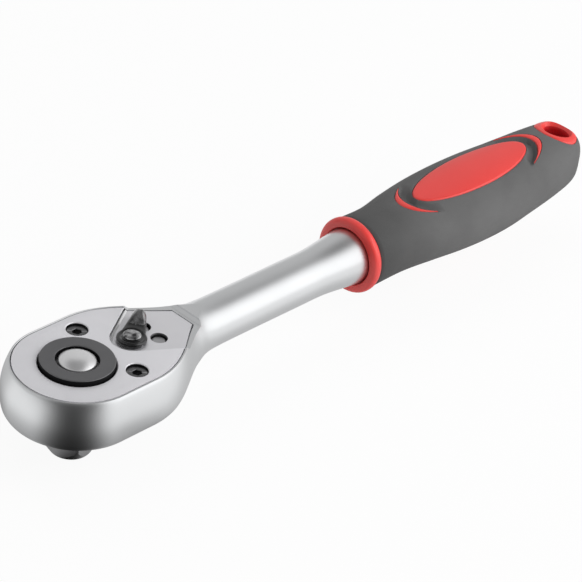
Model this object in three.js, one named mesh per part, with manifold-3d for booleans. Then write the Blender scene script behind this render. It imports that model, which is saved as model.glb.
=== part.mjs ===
// Socket ratchet with a pear-shaped forged head, a quick-release square drive and a two-colour grip.
// Millimetres. The origin is the middle of the drive square's end face. +Z runs up the drive axis to
// the release button and +X runs along the handle. Every piece is drawn about the handle's own axis,
// where z is 0, and the whole tool is then raised so that the square stands on z = 0.
import * as THREE from "three";
import { mergeVertices } from "three/addons/utils/BufferGeometryUtils.js";
import Module from "manifold-3d";

const wasm = await Module();
wasm.setup();

// Fits shared by all pieces
const FIT = 0.3; // gap between pieces that stay together
const PLAY = 0.4; // gap round a piece that turns or slides

// Forged head and neck
const HEAD_RADIUS = 18.8; // cover pocket round the drive axis
const HEAD_STRAIGHT = 13; // straight flanks, from the drive axis towards the handle
const SHOULDER_RADIUS = 25; // curve that closes the pear
const HEAD_TOP = 7.6; // flat top above the handle axis
const HEAD_DEPTH = 17.1; // flat top to underside
const HEAD_BULGE = 2.4; // fullest flank outside the cover pocket
const BULGE_DROP = 9.1; // fullest flank below the flat top
const HEAD_RIM = 0.5; // forging left round the cover at the flat top
const UNDER_EDGE = 3.6; // rounding between flank and underside
const NECK_BLEND = 11; // reach of the blend from head to shank
const FLOOR_WALL = 2.5; // forging under the gear

// Shank: distance from the drive axis and radius
const SHANK_START = 20;
const SHANK = [
  [SHANK_START, 8.6],
  [41, 8.5],
  [45, 8],
  [50, 7.6],
  [58, 7.45],
  [88, 7.5],
  [97, 7.55],
  [103, 8],
  [108, 8.55],
  [113.5, 9.05],
];
const NECK_END = 70; // beyond this the shank is plain and round
const TANG_RADIUS = 6.2;
const TANG_LENGTH = 84;

// Cover plate
const COVER_THICKNESS = 2.6;
const RECESS_DEPTH = 1.3; // fan-shaped recess that the lever sweeps
const RECESS_RADIUS = 6.36; // its round end behind the lever
const RECESS_ANGLE = THREE.MathUtils.degToRad(30.5); // its walls from the handle axis
const TAIL_LENGTH = 20.5; // lever pivot to the step where the cover ends

// Cover screws and locating pins
const SCREW_ANGLE = THREE.MathUtils.degToRad(47.8);
const SCREW_WALL = 1.28; // forging between gear cavity and screw hole
const SCREW_RADIUS = 1.9;
const SCREW_LENGTH = 10;
const SCREW_HEAD_RADIUS = 2.95;
const SCREW_HEAD_SINK = 0.8; // head below the cover's top
const SCREW_CONE = 1.1; // height of the conical seat
const SCREW_SOCKET = 1.45; // six-sided socket, centre to corner
const PIN_RADIUS = 2;
const PIN_LENGTH = 6.5;
const PIN_AHEAD = 7.6; // pins from the lever pivot along the handle
const PIN_SIDE = 3.5;

// Thumb ring and release button
const RING_RADIUS = 10.9;
const RING_PROUD = 1.5;
const RING_WALL = 1.8;
const RING_WEB = 2.4;
const BUTTON_RADIUS = 5.35;
const BUTTON_GAP = 1;
const BUTTON_DOME = 0.9;
const BUTTON_PROUD = 1.3; // button's rim above the cover
const FLANGE_WIDTH = 1.6;
const FLANGE_THICKNESS = 1.4;
const BUTTON_TRAVEL = 3;
const ROD_RADIUS = 1.7;

// Drive gear and square
const TEETH = 48;
const TOOTH_DEPTH = 1;
const TEETH_TURNED = 2; // teeth that the drive stands turned from the handle
const GEAR_LEDGE = 0.62; // gear kept in by the rim of the cover's opening
const SQUARE = 12.7;
const SQUARE_LENGTH = 12;
const SQUARE_CHAMFER = 4; // height of the cone that takes off the corners
const JOURNAL_RADIUS = 9.4;
const JOURNAL_PROUD = 0.5;
const END_WALL = 1.7; // square left below the rod's bore
const WASHER_THICKNESS = 0.5;
const SEAL_RADIUS = 0.55; // section of the seal ring
const SEAL_GROOVE = 1.2;

// Detent ball
const BALL_RADIUS = 2.6;
const BALL_PROUD = 1.1;
const BALL_SINK = 1; // ball travel when the button is pressed
const BALL_HEIGHT = 6.2; // ball above the square's end

// Springs
const BUTTON_SPRING_RADIUS = 3.2;
const BUTTON_WIRE = 0.45;
const BUTTON_TURNS = 6;
const PLUNGER_SPRING_RADIUS = 0.8;
const PLUNGER_WIRE = 0.15;
const PLUNGER_TURNS = 3;

// Reversing lever and pawl
const LEVER_ANGLE = THREE.MathUtils.degToRad(35); // lever swung to the far side
const LEVER_RADIUS = 4.5;
const LEVER_LENGTH = 11.8; // pivot to tip
const LEVER_TIP = 2.3; // half the tip's width
const LEVER_THICKNESS = 1.8;
const LEVER_TAB = 2.1; // thumb tab above the lever's flat
const SHAFT_RADIUS = 2.7;
const SHAFT_COLLAR = 3.6;
const TENON_RADIUS = 2;
const RIVET_HEIGHT = 0.8;
const PAWL_SPACE = 5.1; // between the gear's tips and the lever shaft
const PAWL_PIN_RADIUS = 1.2;
const PAWL_ROCK = THREE.MathUtils.degToRad(7); // to each side of the middle
const WING_DEPTH = 2.7; // wings beyond the gear's tips
const POCKET_ROOM = 2.7; // pocket beyond the wings
const WING_START = THREE.MathUtils.degToRad(16);
const WING_END = THREE.MathUtils.degToRad(33);
const PLUNGER_RADIUS = 1.2;
const PLUNGER_REACH = 3.4; // nose from the shaft's axis
const PLUNGER_LENGTH = 2.5;

// Grip: the red moulding carries the collar, the inlays and the eyelet; the grey sleeve covers the rest
const COLLAR_X = 112.9; // collar's front face from the drive axis
const COLLAR_RADIUS = 12.3;
const COLLAR_LENGTH = 3.4;
const COLLAR_MOUTH = 1.6; // depth of the mouth that the shank enters
const SLEEVE_WALL = 2.6;
const SLEEVE_END = 3.4; // sleeve beyond the red moulding
// Distance from the collar's front, half width, half height, rise of the section's middle, and how square
// the section is: 2 is an ellipse
const GRIP = [
  [3.4, 11.45, 11.4, 0, 2.2],
  [16.4, 12.5, 10, 0.1, 2.2],
  [28.4, 14.85, 9.7, 0.4, 2.2],
  [40.4, 16.05, 10.7, 0.5, 2.2],
  [52.4, 16.2, 11.65, 0.5, 2.2],
  [64.4, 15.7, 11.95, 0.55, 2.2],
  [76.4, 14.4, 11.65, 0.85, 2.2],
  [88.4, 12.8, 11.1, 1.3, 2.35],
  [94.4, 11.6, 10.6, 1.55, 2.6],
  [99.4, 10.5, 10, 1.8, 2.9],
  [103.4, 9.2, 9.45, 2.05, 3.1],
  [105, 8.1, 8.8, 2.1, 3],
  [106.4, 6.4, 7.6, 2.1, 2.8],
  [107.5, 4.4, 5.8, 2, 2.6],
  [108.4, 1.6, 2.3, 1.8, 2.4],
];
const INLAY_SINK = 0.3;
const OVAL_MIDDLE = 56.6; // from the collar's front
const OVAL_LENGTH = 52.4;
const OVAL_WIDTH = 17.2;
// Crescents: edges on the handle's axis and tips, from the oval's middle
const FRONT_CRESCENT = { way: -1, outer: 33.3, inner: 30.2, tip: 24.8, side: 8.4 };
const REAR_CRESCENT = { way: 1, outer: 33.7, inner: 30.2, tip: 20.6, side: 8.8 };
const EYELET_MIDDLE = 99.8;
const EYELET_LENGTH = 12.2;
const EYELET_WIDTH = 17;
const HOLE_LENGTH = 5.4;
const HOLE_WIDTH = 8.2;
const HOLE_FLARE = 1.2;
const HOLE_FLARE_DEPTH = 2.4;

// Levels and places that follow from the sizes above
const HEAD_BOTTOM = HEAD_TOP - HEAD_DEPTH;
const COVER_BOTTOM = HEAD_TOP - COVER_THICKNESS;
const RECESS_FLOOR = HEAD_TOP - RECESS_DEPTH;
const CAVITY_FLOOR = HEAD_BOTTOM + FLOOR_WALL;
const GEAR_BOTTOM = CAVITY_FLOOR + WASHER_THICKNESS + 2 * FIT;
const GEAR_TOP = COVER_BOTTOM - PLAY;
const OPENING_RADIUS = RING_RADIUS + PLAY;
const GEAR_ROOT = OPENING_RADIUS + GEAR_LEDGE;
const GEAR_TIP = GEAR_ROOT + TOOTH_DEPTH;
const CAVITY_RADIUS = GEAR_TIP + PLAY + 0.1;
const RING_TOP = HEAD_TOP + RING_PROUD;
const WEB_BOTTOM = RING_TOP - RING_WEB;
const HUB_TOP = WEB_BOTTOM - FIT;
const FLANGE_RADIUS = BUTTON_RADIUS + FLANGE_WIDTH;
const FLANGE_BOTTOM = HUB_TOP - FLANGE_THICKNESS;
const SHELF = FLANGE_BOTTOM - BUTTON_TRAVEL - 1;
const SPRING_SEAT = GEAR_BOTTOM + 0.9;
const JOURNAL_END = HEAD_BOTTOM - JOURNAL_PROUD;
const SQUARE_END = JOURNAL_END - SQUARE_LENGTH;
const BALL_Z = SQUARE_END + BALL_HEIGHT;
const BALL_X = SQUARE / 2 + BALL_PROUD - BALL_RADIUS;
const ROD_END = SQUARE_END + END_WALL + BUTTON_TRAVEL + FIT;
const LEVER_X = GEAR_TIP + PAWL_SPACE + SHAFT_RADIUS + FIT;
const TAIL_END = LEVER_X + TAIL_LENGTH;
const LEVER_BOTTOM = RECESS_FLOOR + FIT;
const LEVER_TOP = LEVER_BOTTOM + LEVER_THICKNESS;
const PAWL_X = GEAR_TIP + 0.6 * PAWL_SPACE;
const PAWL_BOTTOM = GEAR_BOTTOM + PLAY;
const PAWL_TOP = GEAR_TOP - FIT;
const WING_RADIUS = GEAR_TIP + WING_DEPTH;
const POCKET_RADIUS = WING_RADIUS + POCKET_ROOM;
const POCKET_ANGLE = WING_END + THREE.MathUtils.degToRad(3);
const SCREW_HOLE = SCREW_RADIUS + FIT;
const SCREW_ORBIT = CAVITY_RADIUS + SCREW_WALL + SCREW_HOLE;
const SCREW_X = SCREW_ORBIT * Math.cos(SCREW_ANGLE);
const SCREW_Y = SCREW_ORBIT * Math.sin(SCREW_ANGLE);
const SCREW_TOP = HEAD_TOP - SCREW_HEAD_SINK;
const PIN_X = LEVER_X + PIN_AHEAD;
const PIN_TOP = COVER_BOTTOM + 0.5;
const GRIP_LENGTH = GRIP[GRIP.length - 1][0];
const CORE_END = GRIP_LENGTH - SLEEVE_END;

// Turns a geometry into a solid that can be joined and cut.
function solid(geometry) {
  const bare = geometry.index ? geometry.toNonIndexed() : geometry.clone();
  bare.deleteAttribute("normal");
  bare.deleteAttribute("uv");
  const merged = mergeVertices(bare, 1e-4);
  const corners = [];
  const index = merged.index.array;
  for (let i = 0; i < index.length; i += 3) {
    const [a, b, c] = [index[i], index[i + 1], index[i + 2]];
    if (a !== b && b !== c && c !== a) corners.push(a, b, c);
  }
  return new wasm.Manifold(
    new wasm.Mesh({
      numProp: 3,
      vertProperties: merged.attributes.position.array,
      triVerts: new Uint32Array(corners),
    }),
  );
}

// Turns a joined or cut solid back into a geometry.
function geometryOf(shape) {
  const mesh = shape.getMesh();
  const geometry = new THREE.BufferGeometry();
  geometry.setAttribute("position", new THREE.BufferAttribute(new Float32Array(mesh.vertProperties), 3));
  geometry.setIndex(new THREE.BufferAttribute(new Uint32Array(mesh.triVerts), 1));
  geometry.computeVertexNormals();
  return geometry;
}

// Solid turned about a vertical line through (x, y), from rows of [radius, height], bottom to top.
function turned(rows, segments, x = 0, y = 0) {
  const profile = rows.map(([radius, height]) => new THREE.Vector2(radius, height));
  const geometry = new THREE.LatheGeometry(profile, segments);
  return solid(geometry.rotateX(Math.PI / 2).translate(x, y, 0));
}

// Solid turned about the handle's axis, from rows of [radius, distance], front to back.
function turnedAlong(rows, segments) {
  const profile = rows.map(([radius, distance]) => new THREE.Vector2(radius, distance));
  return solid(new THREE.LatheGeometry(profile, segments).rotateZ(-Math.PI / 2));
}

// Upright round bar or hole through (x, y).
function round(radius, bottom, top, segments = 32, x = 0, y = 0) {
  return turned([[0, bottom], [radius, bottom], [radius, top], [0, top]], segments, x, y);
}

// Upright prism of a flat outline.
function prism(shape, bottom, top, curveSegments = 12) {
  const options = { depth: top - bottom, bevelEnabled: false, curveSegments };
  return solid(new THREE.ExtrudeGeometry(shape, options).translate(0, 0, bottom));
}

// Skin through rings of equally many points, closed with a fan at each end.
function loft(rings) {
  const count = rings[0].length;
  const points = rings.flat();
  const index = [];
  for (let r = 0; r + 1 < rings.length; r += 1) {
    for (let k = 0; k < count; k += 1) {
      const a = r * count + k;
      const b = r * count + ((k + 1) % count);
      index.push(a, a + count, b, b, a + count, b + count);
    }
  }
  const close = (ring, start, forward) => {
    const middle = ring.reduce((sum, p) => sum.add(p), new THREE.Vector3()).divideScalar(count);
    const hub = points.push(middle) - 1;
    for (let k = 0; k < count; k += 1) {
      const next = start + ((k + 1) % count);
      if (forward) index.push(hub, start + k, next);
      else index.push(hub, next, start + k);
    }
  };
  close(rings[0], 0, true);
  close(rings[rings.length - 1], (rings.length - 1) * count, false);
  const geometry = new THREE.BufferGeometry().setFromPoints(points);
  geometry.setIndex(index);
  return solid(geometry);
}

// Value of a smooth curve through rows that start with x, read at x from the given column.
function along(rows, x, column) {
  const last = rows.length - 1;
  let i = 0;
  while (i < last - 1 && x > rows[i + 1][0]) i += 1;
  const slope = (k) => {
    const before = rows[Math.max(k - 1, 0)];
    const after = rows[Math.min(k + 1, last)];
    return (after[column] - before[column]) / (after[0] - before[0]);
  };
  const span = rows[i + 1][0] - rows[i][0];
  const t = THREE.MathUtils.clamp((x - rows[i][0]) / span, 0, 1);
  const rise = t * t * (3 - 2 * t);
  const bend = span * (slope(i) * t * (1 - t) * (1 - t) - slope(i + 1) * t * t * (1 - t));
  return rows[i][column] * (1 - rise) + rows[i + 1][column] * rise + bend;
}

// Where a rising function of one number passes zero.
function crossing(rising, low, high) {
  let from = low;
  let to = high;
  for (let i = 0; i < 40; i += 1) {
    const middle = (from + to) / 2;
    if (rising(middle) < 0) from = middle;
    else to = middle;
  }
  return (from + to) / 2;
}

const group = new THREE.Group();
group.position.z = -SQUARE_END;

// Adds one finished piece to its group under its own name, with its own material.
function piece(name, shape, finish, parent = group) {
  const mesh = new THREE.Mesh(geometryOf(shape), new THREE.MeshStandardMaterial(finish));
  mesh.name = name;
  parent.add(mesh);
}

const CHROME = { color: 0xc9cbce, roughness: 0.36, metalness: 1 };
const COVER_STEEL = { color: 0xb2b2b8, roughness: 0.5, metalness: 1 };
const TOOL_STEEL = { color: 0x8f9194, roughness: 0.4, metalness: 1 };
const BLACK_STEEL = { color: 0x2c2d30, roughness: 0.45, metalness: 0.8 };
const GREY_RING = { color: 0x55565a, roughness: 0.6, metalness: 0.4 };
const SPRING_STEEL = { color: 0x9a9ca0, roughness: 0.3, metalness: 1 };
const SEAL_RUBBER = { color: 0x1b1b1d, roughness: 0.8, metalness: 0 };
const RED_PLASTIC = { color: 0xe04440, roughness: 0.45, metalness: 0 };
const GREY_RUBBER = { color: 0x54575a, roughness: 0.8, metalness: 0 };

// Distance outside the pear in plan, less than zero inside it
function pearDistance(x, y) {
  const side = Math.abs(y);
  if (x < 0) return Math.hypot(x, side) - HEAD_RADIUS;
  if (x < HEAD_STRAIGHT) return side - HEAD_RADIUS;
  return Math.hypot(x - HEAD_STRAIGHT, side + SHOULDER_RADIUS - HEAD_RADIUS) - SHOULDER_RADIUS;
}

// Lower of two distances, with the corner between them filled over the given reach
function blend(a, b, reach) {
  const near = Math.max(reach - Math.abs(a - b), 0) / reach;
  return Math.min(a, b) - (near * near * reach) / 4;
}

// Distance outside the forging: barrel-sided pear with a rounded underside, blended into the round shank
function forgingDistance(x, y, z) {
  const below = HEAD_TOP - BULGE_DROP - z;
  const flank = HEAD_BULGE - ((HEAD_BULGE - HEAD_RIM) * below * below) / (BULGE_DROP * BULGE_DROP);
  const shank = Math.hypot(Math.max(SHANK_START - x, 0), y, z) - along(SHANK, x, 1);
  if (x > NECK_END) return shank;
  const sides = blend(pearDistance(x, y) - flank, shank, NECK_BLEND);
  return -blend(-sides, z - HEAD_BOTTOM, UNDER_EDGE);
}

// Half of the forging's section at x, as [y, z] from the edge of its flat top down to the middle of its
// underside. Points crowd where the outline turns.
const HALF_POINTS = 14;
const TURN_WEIGHT = 5;
function halfSection(x) {
  const ceiling = x < NECK_END ? HEAD_TOP : 2 * HEAD_RADIUS;
  const topIsFlat = forgingDistance(x, 0, ceiling) < 0;
  const edge = topIsFlat ? crossing((y) => forgingDistance(x, y, HEAD_TOP), 0, 2 * HEAD_RADIUS) : 0;
  const first = Math.min(Math.atan2(ceiling, edge), Math.PI * (0.5 - 0.25 / HALF_POINTS));
  const fine = [];
  const samples = 160;
  for (let i = 0; i <= samples; i += 1) {
    const angle = THREE.MathUtils.lerp(first, -Math.PI / 2, i / samples);
    const [c, s] = [Math.cos(angle), Math.sin(angle)];
    const radius = crossing((r) => forgingDistance(x, r * c, r * s), 0, 2 * HEAD_RADIUS);
    fine.push([radius * c, Math.min(radius * s, ceiling)]);
  }
  const weight = [0];
  for (let i = 1; i <= samples; i += 1) {
    const [a, b, c] = [fine[i - 1], fine[i], fine[Math.min(i + 1, samples)]];
    const turn = Math.atan2(c[1] - b[1], c[0] - b[0]) - Math.atan2(b[1] - a[1], b[0] - a[0]);
    const bend = i < samples ? Math.abs(Math.atan2(Math.sin(turn), Math.cos(turn))) : 0;
    weight.push(weight[i - 1] + Math.hypot(b[0] - a[0], b[1] - a[1]) + TURN_WEIGHT * bend);
  }
  const half = [];
  let i = 1;
  for (let k = 0; k < HALF_POINTS; k += 1) {
    const wanted = (weight[samples] * k) / (HALF_POINTS - 1);
    while (i < samples && weight[i] < wanted) i += 1;
    const t = (wanted - weight[i - 1]) / (weight[i] - weight[i - 1]);
    half.push([0, 1].map((j) => THREE.MathUtils.lerp(fine[i - 1][j], fine[i][j], t)));
  }
  half[HALF_POINTS - 1][0] = 0;
  return half;
}

function forgingRing(x) {
  const half = halfSection(x);
  const near = half.slice(0, -1).reverse().map(([y, z]) => new THREE.Vector3(x, -y, z));
  return half.map(([y, z]) => new THREE.Vector3(x, y, z)).concat(near);
}

// Flat outline of the cover or, with no inset, of its pocket: round nose, pear flanks, square tail
function coverOutline(inset) {
  const tail = TAIL_END - inset;
  const flank = [];
  const steps = 16;
  for (let i = 0; i <= steps; i += 1) {
    const x = THREE.MathUtils.lerp(HEAD_STRAIGHT, tail, i / steps);
    const outside = (y) => forgingDistance(x, y, HEAD_TOP) + HEAD_RIM + inset;
    flank.push(new THREE.Vector2(x, Math.max(crossing(outside, 0, 2 * HEAD_RADIUS), 1)));
  }
  const shape = new THREE.Shape();
  shape.absarc(0, 0, HEAD_RADIUS - inset, Math.PI / 2, -Math.PI / 2, false);
  flank.forEach((p) => shape.lineTo(p.x, -p.y));
  flank.reverse().forEach((p) => shape.lineTo(p.x, p.y));
  shape.closePath();
  return shape;
}

// Fan-shaped recess: a round end about the lever's pivot and two straight walls that open towards the tail
function recessOutline() {
  const [c, s] = [Math.cos(RECESS_ANGLE), Math.sin(RECESS_ANGLE)];
  const start = new THREE.Vector2(LEVER_X - RECESS_RADIUS * s, RECESS_RADIUS * c);
  const reach = (TAIL_END - start.x) / c;
  const shape = new THREE.Shape();
  shape.absarc(LEVER_X, 0, RECESS_RADIUS, Math.PI / 2 + RECESS_ANGLE, 1.5 * Math.PI - RECESS_ANGLE, false);
  shape.lineTo(TAIL_END, -start.y - reach * s);
  shape.lineTo(TAIL_END, start.y + reach * s);
  shape.closePath();
  return shape;
}

const SIDES = { far: 1, near: -1 };
const ABOVE = HEAD_TOP + 10; // cuts that break out through the top

// Forged body: head, neck, shank and the tang inside the grip
const nose = halfSection(0).reverse();
nose.push([0, HEAD_TOP]);
const stations = [0, HEAD_STRAIGHT / 2];
for (let x = HEAD_STRAIGHT; x < SHANK[3][0]; x += 3) stations.push(x);
for (const [x] of SHANK.slice(3)) {
  if (x < COLLAR_X) stations.push(x);
}
stations.push(COLLAR_X + COLLAR_MOUTH - FIT);
const recess = prism(recessOutline(), RECESS_FLOOR, ABOVE, 10);
const tangEnd = COLLAR_X + TANG_LENGTH;
const pawlPocket = new THREE.Shape();
pawlPocket.moveTo(0, 0);
pawlPocket.lineTo(POCKET_RADIUS * Math.cos(POCKET_ANGLE), -POCKET_RADIUS * Math.sin(POCKET_ANGLE));
pawlPocket.absarc(0, 0, POCKET_RADIUS, -POCKET_ANGLE, POCKET_ANGLE, false);
let body = turned(nose, 32)
  .add(loft(stations.map(forgingRing)))
  .add(turnedAlong([[0, COLLAR_X], [TANG_RADIUS, COLLAR_X], [TANG_RADIUS, tangEnd], [0, tangEnd]], 24))
  .subtract(prism(coverOutline(0), COVER_BOTTOM - FIT, ABOVE, 18))
  .subtract(recess)
  .subtract(round(CAVITY_RADIUS, CAVITY_FLOOR, ABOVE, 40))
  .subtract(round(JOURNAL_RADIUS + FIT, HEAD_BOTTOM - 1, ABOVE, 40))
  .subtract(prism(pawlPocket, GEAR_BOTTOM, ABOVE, 16))
  .subtract(round(SHAFT_COLLAR + PLAY, GEAR_BOTTOM, ABOVE, 24, LEVER_X))
  .subtract(round(SHAFT_RADIUS + FIT, CAVITY_FLOOR - 2 * FIT, ABOVE, 24, LEVER_X))
  .subtract(round(PAWL_PIN_RADIUS + FIT, CAVITY_FLOOR - 2 * FIT, ABOVE, 16, PAWL_X));
for (const side of Object.values(SIDES)) {
  body = body
    .subtract(round(SCREW_HOLE, SCREW_TOP - SCREW_LENGTH - FIT, ABOVE, 16, SCREW_X, side * SCREW_Y))
    .subtract(round(PIN_RADIUS + FIT, PIN_TOP - PIN_LENGTH - FIT, ABOVE, 20, PIN_X, side * PIN_SIDE));
}
piece("forged_body", body, CHROME);

// Cover plate: drops into the head's pocket, with the ring's opening, the lever's recess and sunk screw seats
let cover = prism(coverOutline(FIT), COVER_BOTTOM, HEAD_TOP, 18)
  .subtract(recess)
  .subtract(round(OPENING_RADIUS, HEAD_BOTTOM, ABOVE, 40))
  .subtract(round(SHAFT_RADIUS + FIT, HEAD_BOTTOM, ABOVE, 24, LEVER_X));
const seat = SCREW_HEAD_RADIUS + FIT;
const coneBottom = SCREW_TOP - SCREW_CONE - FIT;
const screwSeat = [
  [0, HEAD_BOTTOM],
  [SCREW_HOLE, HEAD_BOTTOM],
  [SCREW_HOLE, coneBottom],
  [seat, coneBottom + seat - SCREW_HOLE],
  [seat, ABOVE],
  [0, ABOVE],
];
for (const side of Object.values(SIDES)) {
  cover = cover
    .subtract(turned(screwSeat, 20, SCREW_X, side * SCREW_Y))
    .subtract(round(PIN_RADIUS + FIT, HEAD_BOTTOM, ABOVE, 24, PIN_X, side * PIN_SIDE));
}
piece("cover_plate", cover, COVER_STEEL);

// Cover screws with conical heads and six-sided sockets, and the pins that locate the cover's tail
const headSlope = SCREW_HEAD_RADIUS - SCREW_RADIUS;
const screwProfile = [
  [0, SCREW_TOP - SCREW_LENGTH],
  [SCREW_RADIUS, SCREW_TOP - SCREW_LENGTH],
  [SCREW_RADIUS, SCREW_TOP - SCREW_CONE],
  [SCREW_HEAD_RADIUS, SCREW_TOP - SCREW_CONE + headSlope],
  [SCREW_HEAD_RADIUS, SCREW_TOP],
  [0, SCREW_TOP],
];
for (const [name, side] of Object.entries(SIDES)) {
  const socket = round(SCREW_SOCKET, SCREW_TOP - 1.4, ABOVE, 6, SCREW_X, side * SCREW_Y);
  const screw = turned(screwProfile, 18, SCREW_X, side * SCREW_Y).subtract(socket);
  piece(`cover_screw_${name}`, screw, BLACK_STEEL);
  const pin = round(PIN_RADIUS, PIN_TOP - PIN_LENGTH, PIN_TOP, 20, PIN_X, side * PIN_SIDE);
  piece(`locating_pin_${name}`, pin, TOOL_STEEL);
}

// Outline of the gear, grown on every side by the given clearance
function gearOutline(clearance) {
  const shape = new THREE.Shape();
  const pitch = (2 * Math.PI) / TEETH;
  const grow = clearance / GEAR_TIP;
  const corners = [
    [GEAR_ROOT, -0.4 * pitch - grow],
    [GEAR_TIP, -0.12 * pitch - grow],
    [GEAR_TIP, 0.12 * pitch + grow],
    [GEAR_ROOT, 0.4 * pitch + grow],
  ];
  for (let tooth = 0; tooth < TEETH; tooth += 1) {
    for (const [radius, offset] of corners) {
      const angle = tooth * pitch + offset;
      const far = radius + clearance;
      if (tooth === 0 && offset === corners[0][1]) shape.moveTo(far * Math.cos(angle), far * Math.sin(angle));
      else shape.lineTo(far * Math.cos(angle), far * Math.sin(angle));
    }
  }
  shape.closePath();
  return shape;
}

// Drive: gear, journal, hub and chamfered square in one, bored for the release rod and cross-bored for the ball
const driveGroup = new THREE.Group();
driveGroup.rotation.z = (2 * Math.PI * TEETH_TURNED) / TEETH;
group.add(driveGroup);
const halfSquare = SQUARE / 2;
const squareOutline = new THREE.Shape();
squareOutline.moveTo(-halfSquare, -halfSquare);
squareOutline.lineTo(halfSquare, -halfSquare);
squareOutline.lineTo(halfSquare, halfSquare);
squareOutline.lineTo(-halfSquare, halfSquare);
squareOutline.closePath();
const squareTurned = [
  [0, SQUARE_END],
  [halfSquare - 0.5, SQUARE_END],
  [halfSquare * Math.SQRT2 - 0.4, SQUARE_END + SQUARE_CHAMFER],
  [halfSquare * Math.SQRT2 - 0.4, JOURNAL_END + 1],
  [0, JOURNAL_END + 1],
];
const hubRadius = RING_RADIUS - RING_WALL - FIT;
const sealFloor = JOURNAL_RADIUS - SEAL_GROOVE;
const sealMiddle = (HEAD_BOTTOM + CAVITY_FLOOR) / 2;
const sealHalf = SEAL_RADIUS + 0.2;
const driveProfile = [
  [0, JOURNAL_END],
  [JOURNAL_RADIUS, JOURNAL_END],
  [JOURNAL_RADIUS, sealMiddle - sealHalf],
  [sealFloor, sealMiddle - sealHalf],
  [sealFloor, sealMiddle + sealHalf],
  [JOURNAL_RADIUS, sealMiddle + sealHalf],
  [JOURNAL_RADIUS, GEAR_BOTTOM + 1],
  [hubRadius, GEAR_BOTTOM + 1],
  [hubRadius, HUB_TOP],
  [0, HUB_TOP],
];
const ballBore = new THREE.CylinderGeometry(BALL_RADIUS + 0.2, BALL_RADIUS + 0.2, SQUARE, 20);
ballBore.rotateZ(Math.PI / 2).translate(SQUARE / 2, 0, BALL_Z);
const drive = prism(gearOutline(0), GEAR_BOTTOM, GEAR_TOP)
  .add(turned(driveProfile, 32))
  .add(prism(squareOutline, SQUARE_END, JOURNAL_END + 1).intersect(turned(squareTurned, 32)))
  .subtract(round(FLANGE_RADIUS + PLAY, SHELF, ABOVE, 28))
  .subtract(round(BUTTON_SPRING_RADIUS + BUTTON_WIRE + PLAY, SPRING_SEAT, ABOVE, 24))
  .subtract(round(ROD_RADIUS + FIT, SQUARE_END + END_WALL, ABOVE, 16))
  .subtract(solid(ballBore));
piece("drive_gear", drive, TOOL_STEEL, driveGroup);

// Thumb ring round the button: turns the drive by hand and keeps the button in
const ringInner = RING_RADIUS - RING_WALL;
const ringBore = BUTTON_RADIUS + BUTTON_GAP;
const ringBottom = GEAR_TOP + FIT;
const ringProfile = [
  [ringInner, ringBottom],
  [RING_RADIUS, ringBottom],
  [RING_RADIUS, RING_TOP - 0.6],
  [RING_RADIUS - 0.6, RING_TOP],
  [ringBore + 0.4, RING_TOP],
  [ringBore, RING_TOP - 0.4],
  [ringBore, WEB_BOTTOM],
  [ringInner, WEB_BOTTOM],
  [ringInner, ringBottom],
];
piece("thumb_ring", turned(ringProfile, 36), GREY_RING, driveGroup);

// Thrust washer under the gear and seal ring in the journal's groove
const washerInner = JOURNAL_RADIUS + FIT;
const washerOuter = GEAR_ROOT - FIT;
const washerBottom = CAVITY_FLOOR + FIT;
const washerTop = washerBottom + WASHER_THICKNESS;
const washerProfile = [
  [washerInner, washerBottom],
  [washerOuter, washerBottom],
  [washerOuter, washerTop],
  [washerInner, washerTop],
  [washerInner, washerBottom],
];
piece("thrust_washer", turned(washerProfile, 32), TOOL_STEEL, driveGroup);
const sealCentre = (sealFloor + JOURNAL_RADIUS + FIT) / 2;
const sealProfile = [];
for (let k = 0; k <= 6; k += 1) {
  const angle = (2 * Math.PI * k) / 6;
  sealProfile.push([sealCentre + SEAL_RADIUS * Math.cos(angle), sealMiddle + SEAL_RADIUS * Math.sin(angle)]);
}
piece("journal_seal", turned(sealProfile, 24), SEAL_RUBBER, driveGroup);

// Release button: domed head, flange under the thumb ring, and the rod whose waist lets the ball sink
const buttonRim = HEAD_TOP + BUTTON_PROUD;
const waist = BALL_Z + BUTTON_TRAVEL;
const waistRadius = BALL_X - BALL_SINK - BALL_RADIUS - FIT;
const waistCurve = [
  [0.8, waistRadius + 0.1],
  [1.5, waistRadius + 0.45],
  [1.95, ROD_RADIUS],
];
const buttonProfile = [[0, ROD_END], [ROD_RADIUS, ROD_END]];
waistCurve.slice().reverse().forEach(([away, radius]) => buttonProfile.push([radius, waist - away]));
waistCurve.forEach(([away, radius]) => buttonProfile.push([radius, waist + away]));
buttonProfile.push(
  [ROD_RADIUS, FLANGE_BOTTOM],
  [FLANGE_RADIUS, FLANGE_BOTTOM],
  [FLANGE_RADIUS, HUB_TOP],
  [BUTTON_RADIUS, HUB_TOP],
  [BUTTON_RADIUS, buttonRim - 0.5],
);
const domeSteps = 4;
for (let k = 0; k <= domeSteps; k += 1) {
  const share = k / domeSteps;
  buttonProfile.push([(BUTTON_RADIUS - 0.4) * (1 - share), buttonRim + BUTTON_DOME * (1 - (1 - share) ** 2)]);
}
piece("release_button", turned(buttonProfile, 22), CHROME, driveGroup);

// Detent ball that holds a socket on the square
const ball = new THREE.SphereGeometry(BALL_RADIUS, 14, 9).translate(BALL_X, 0, BALL_Z);
piece("detent_ball", solid(ball), SPRING_STEEL, driveGroup);

// Helical spring about a vertical axis, as one unbroken tube
class Helix extends THREE.Curve {
  constructor(radius, turns, bottom, top) {
    super();
    Object.assign(this, { radius, turns, bottom, top });
  }

  getPoint(t, target = new THREE.Vector3()) {
    const angle = 2 * Math.PI * this.turns * t;
    const height = THREE.MathUtils.lerp(this.bottom, this.top, t);
    return target.set(this.radius * Math.cos(angle), this.radius * Math.sin(angle), height);
  }
}

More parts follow.
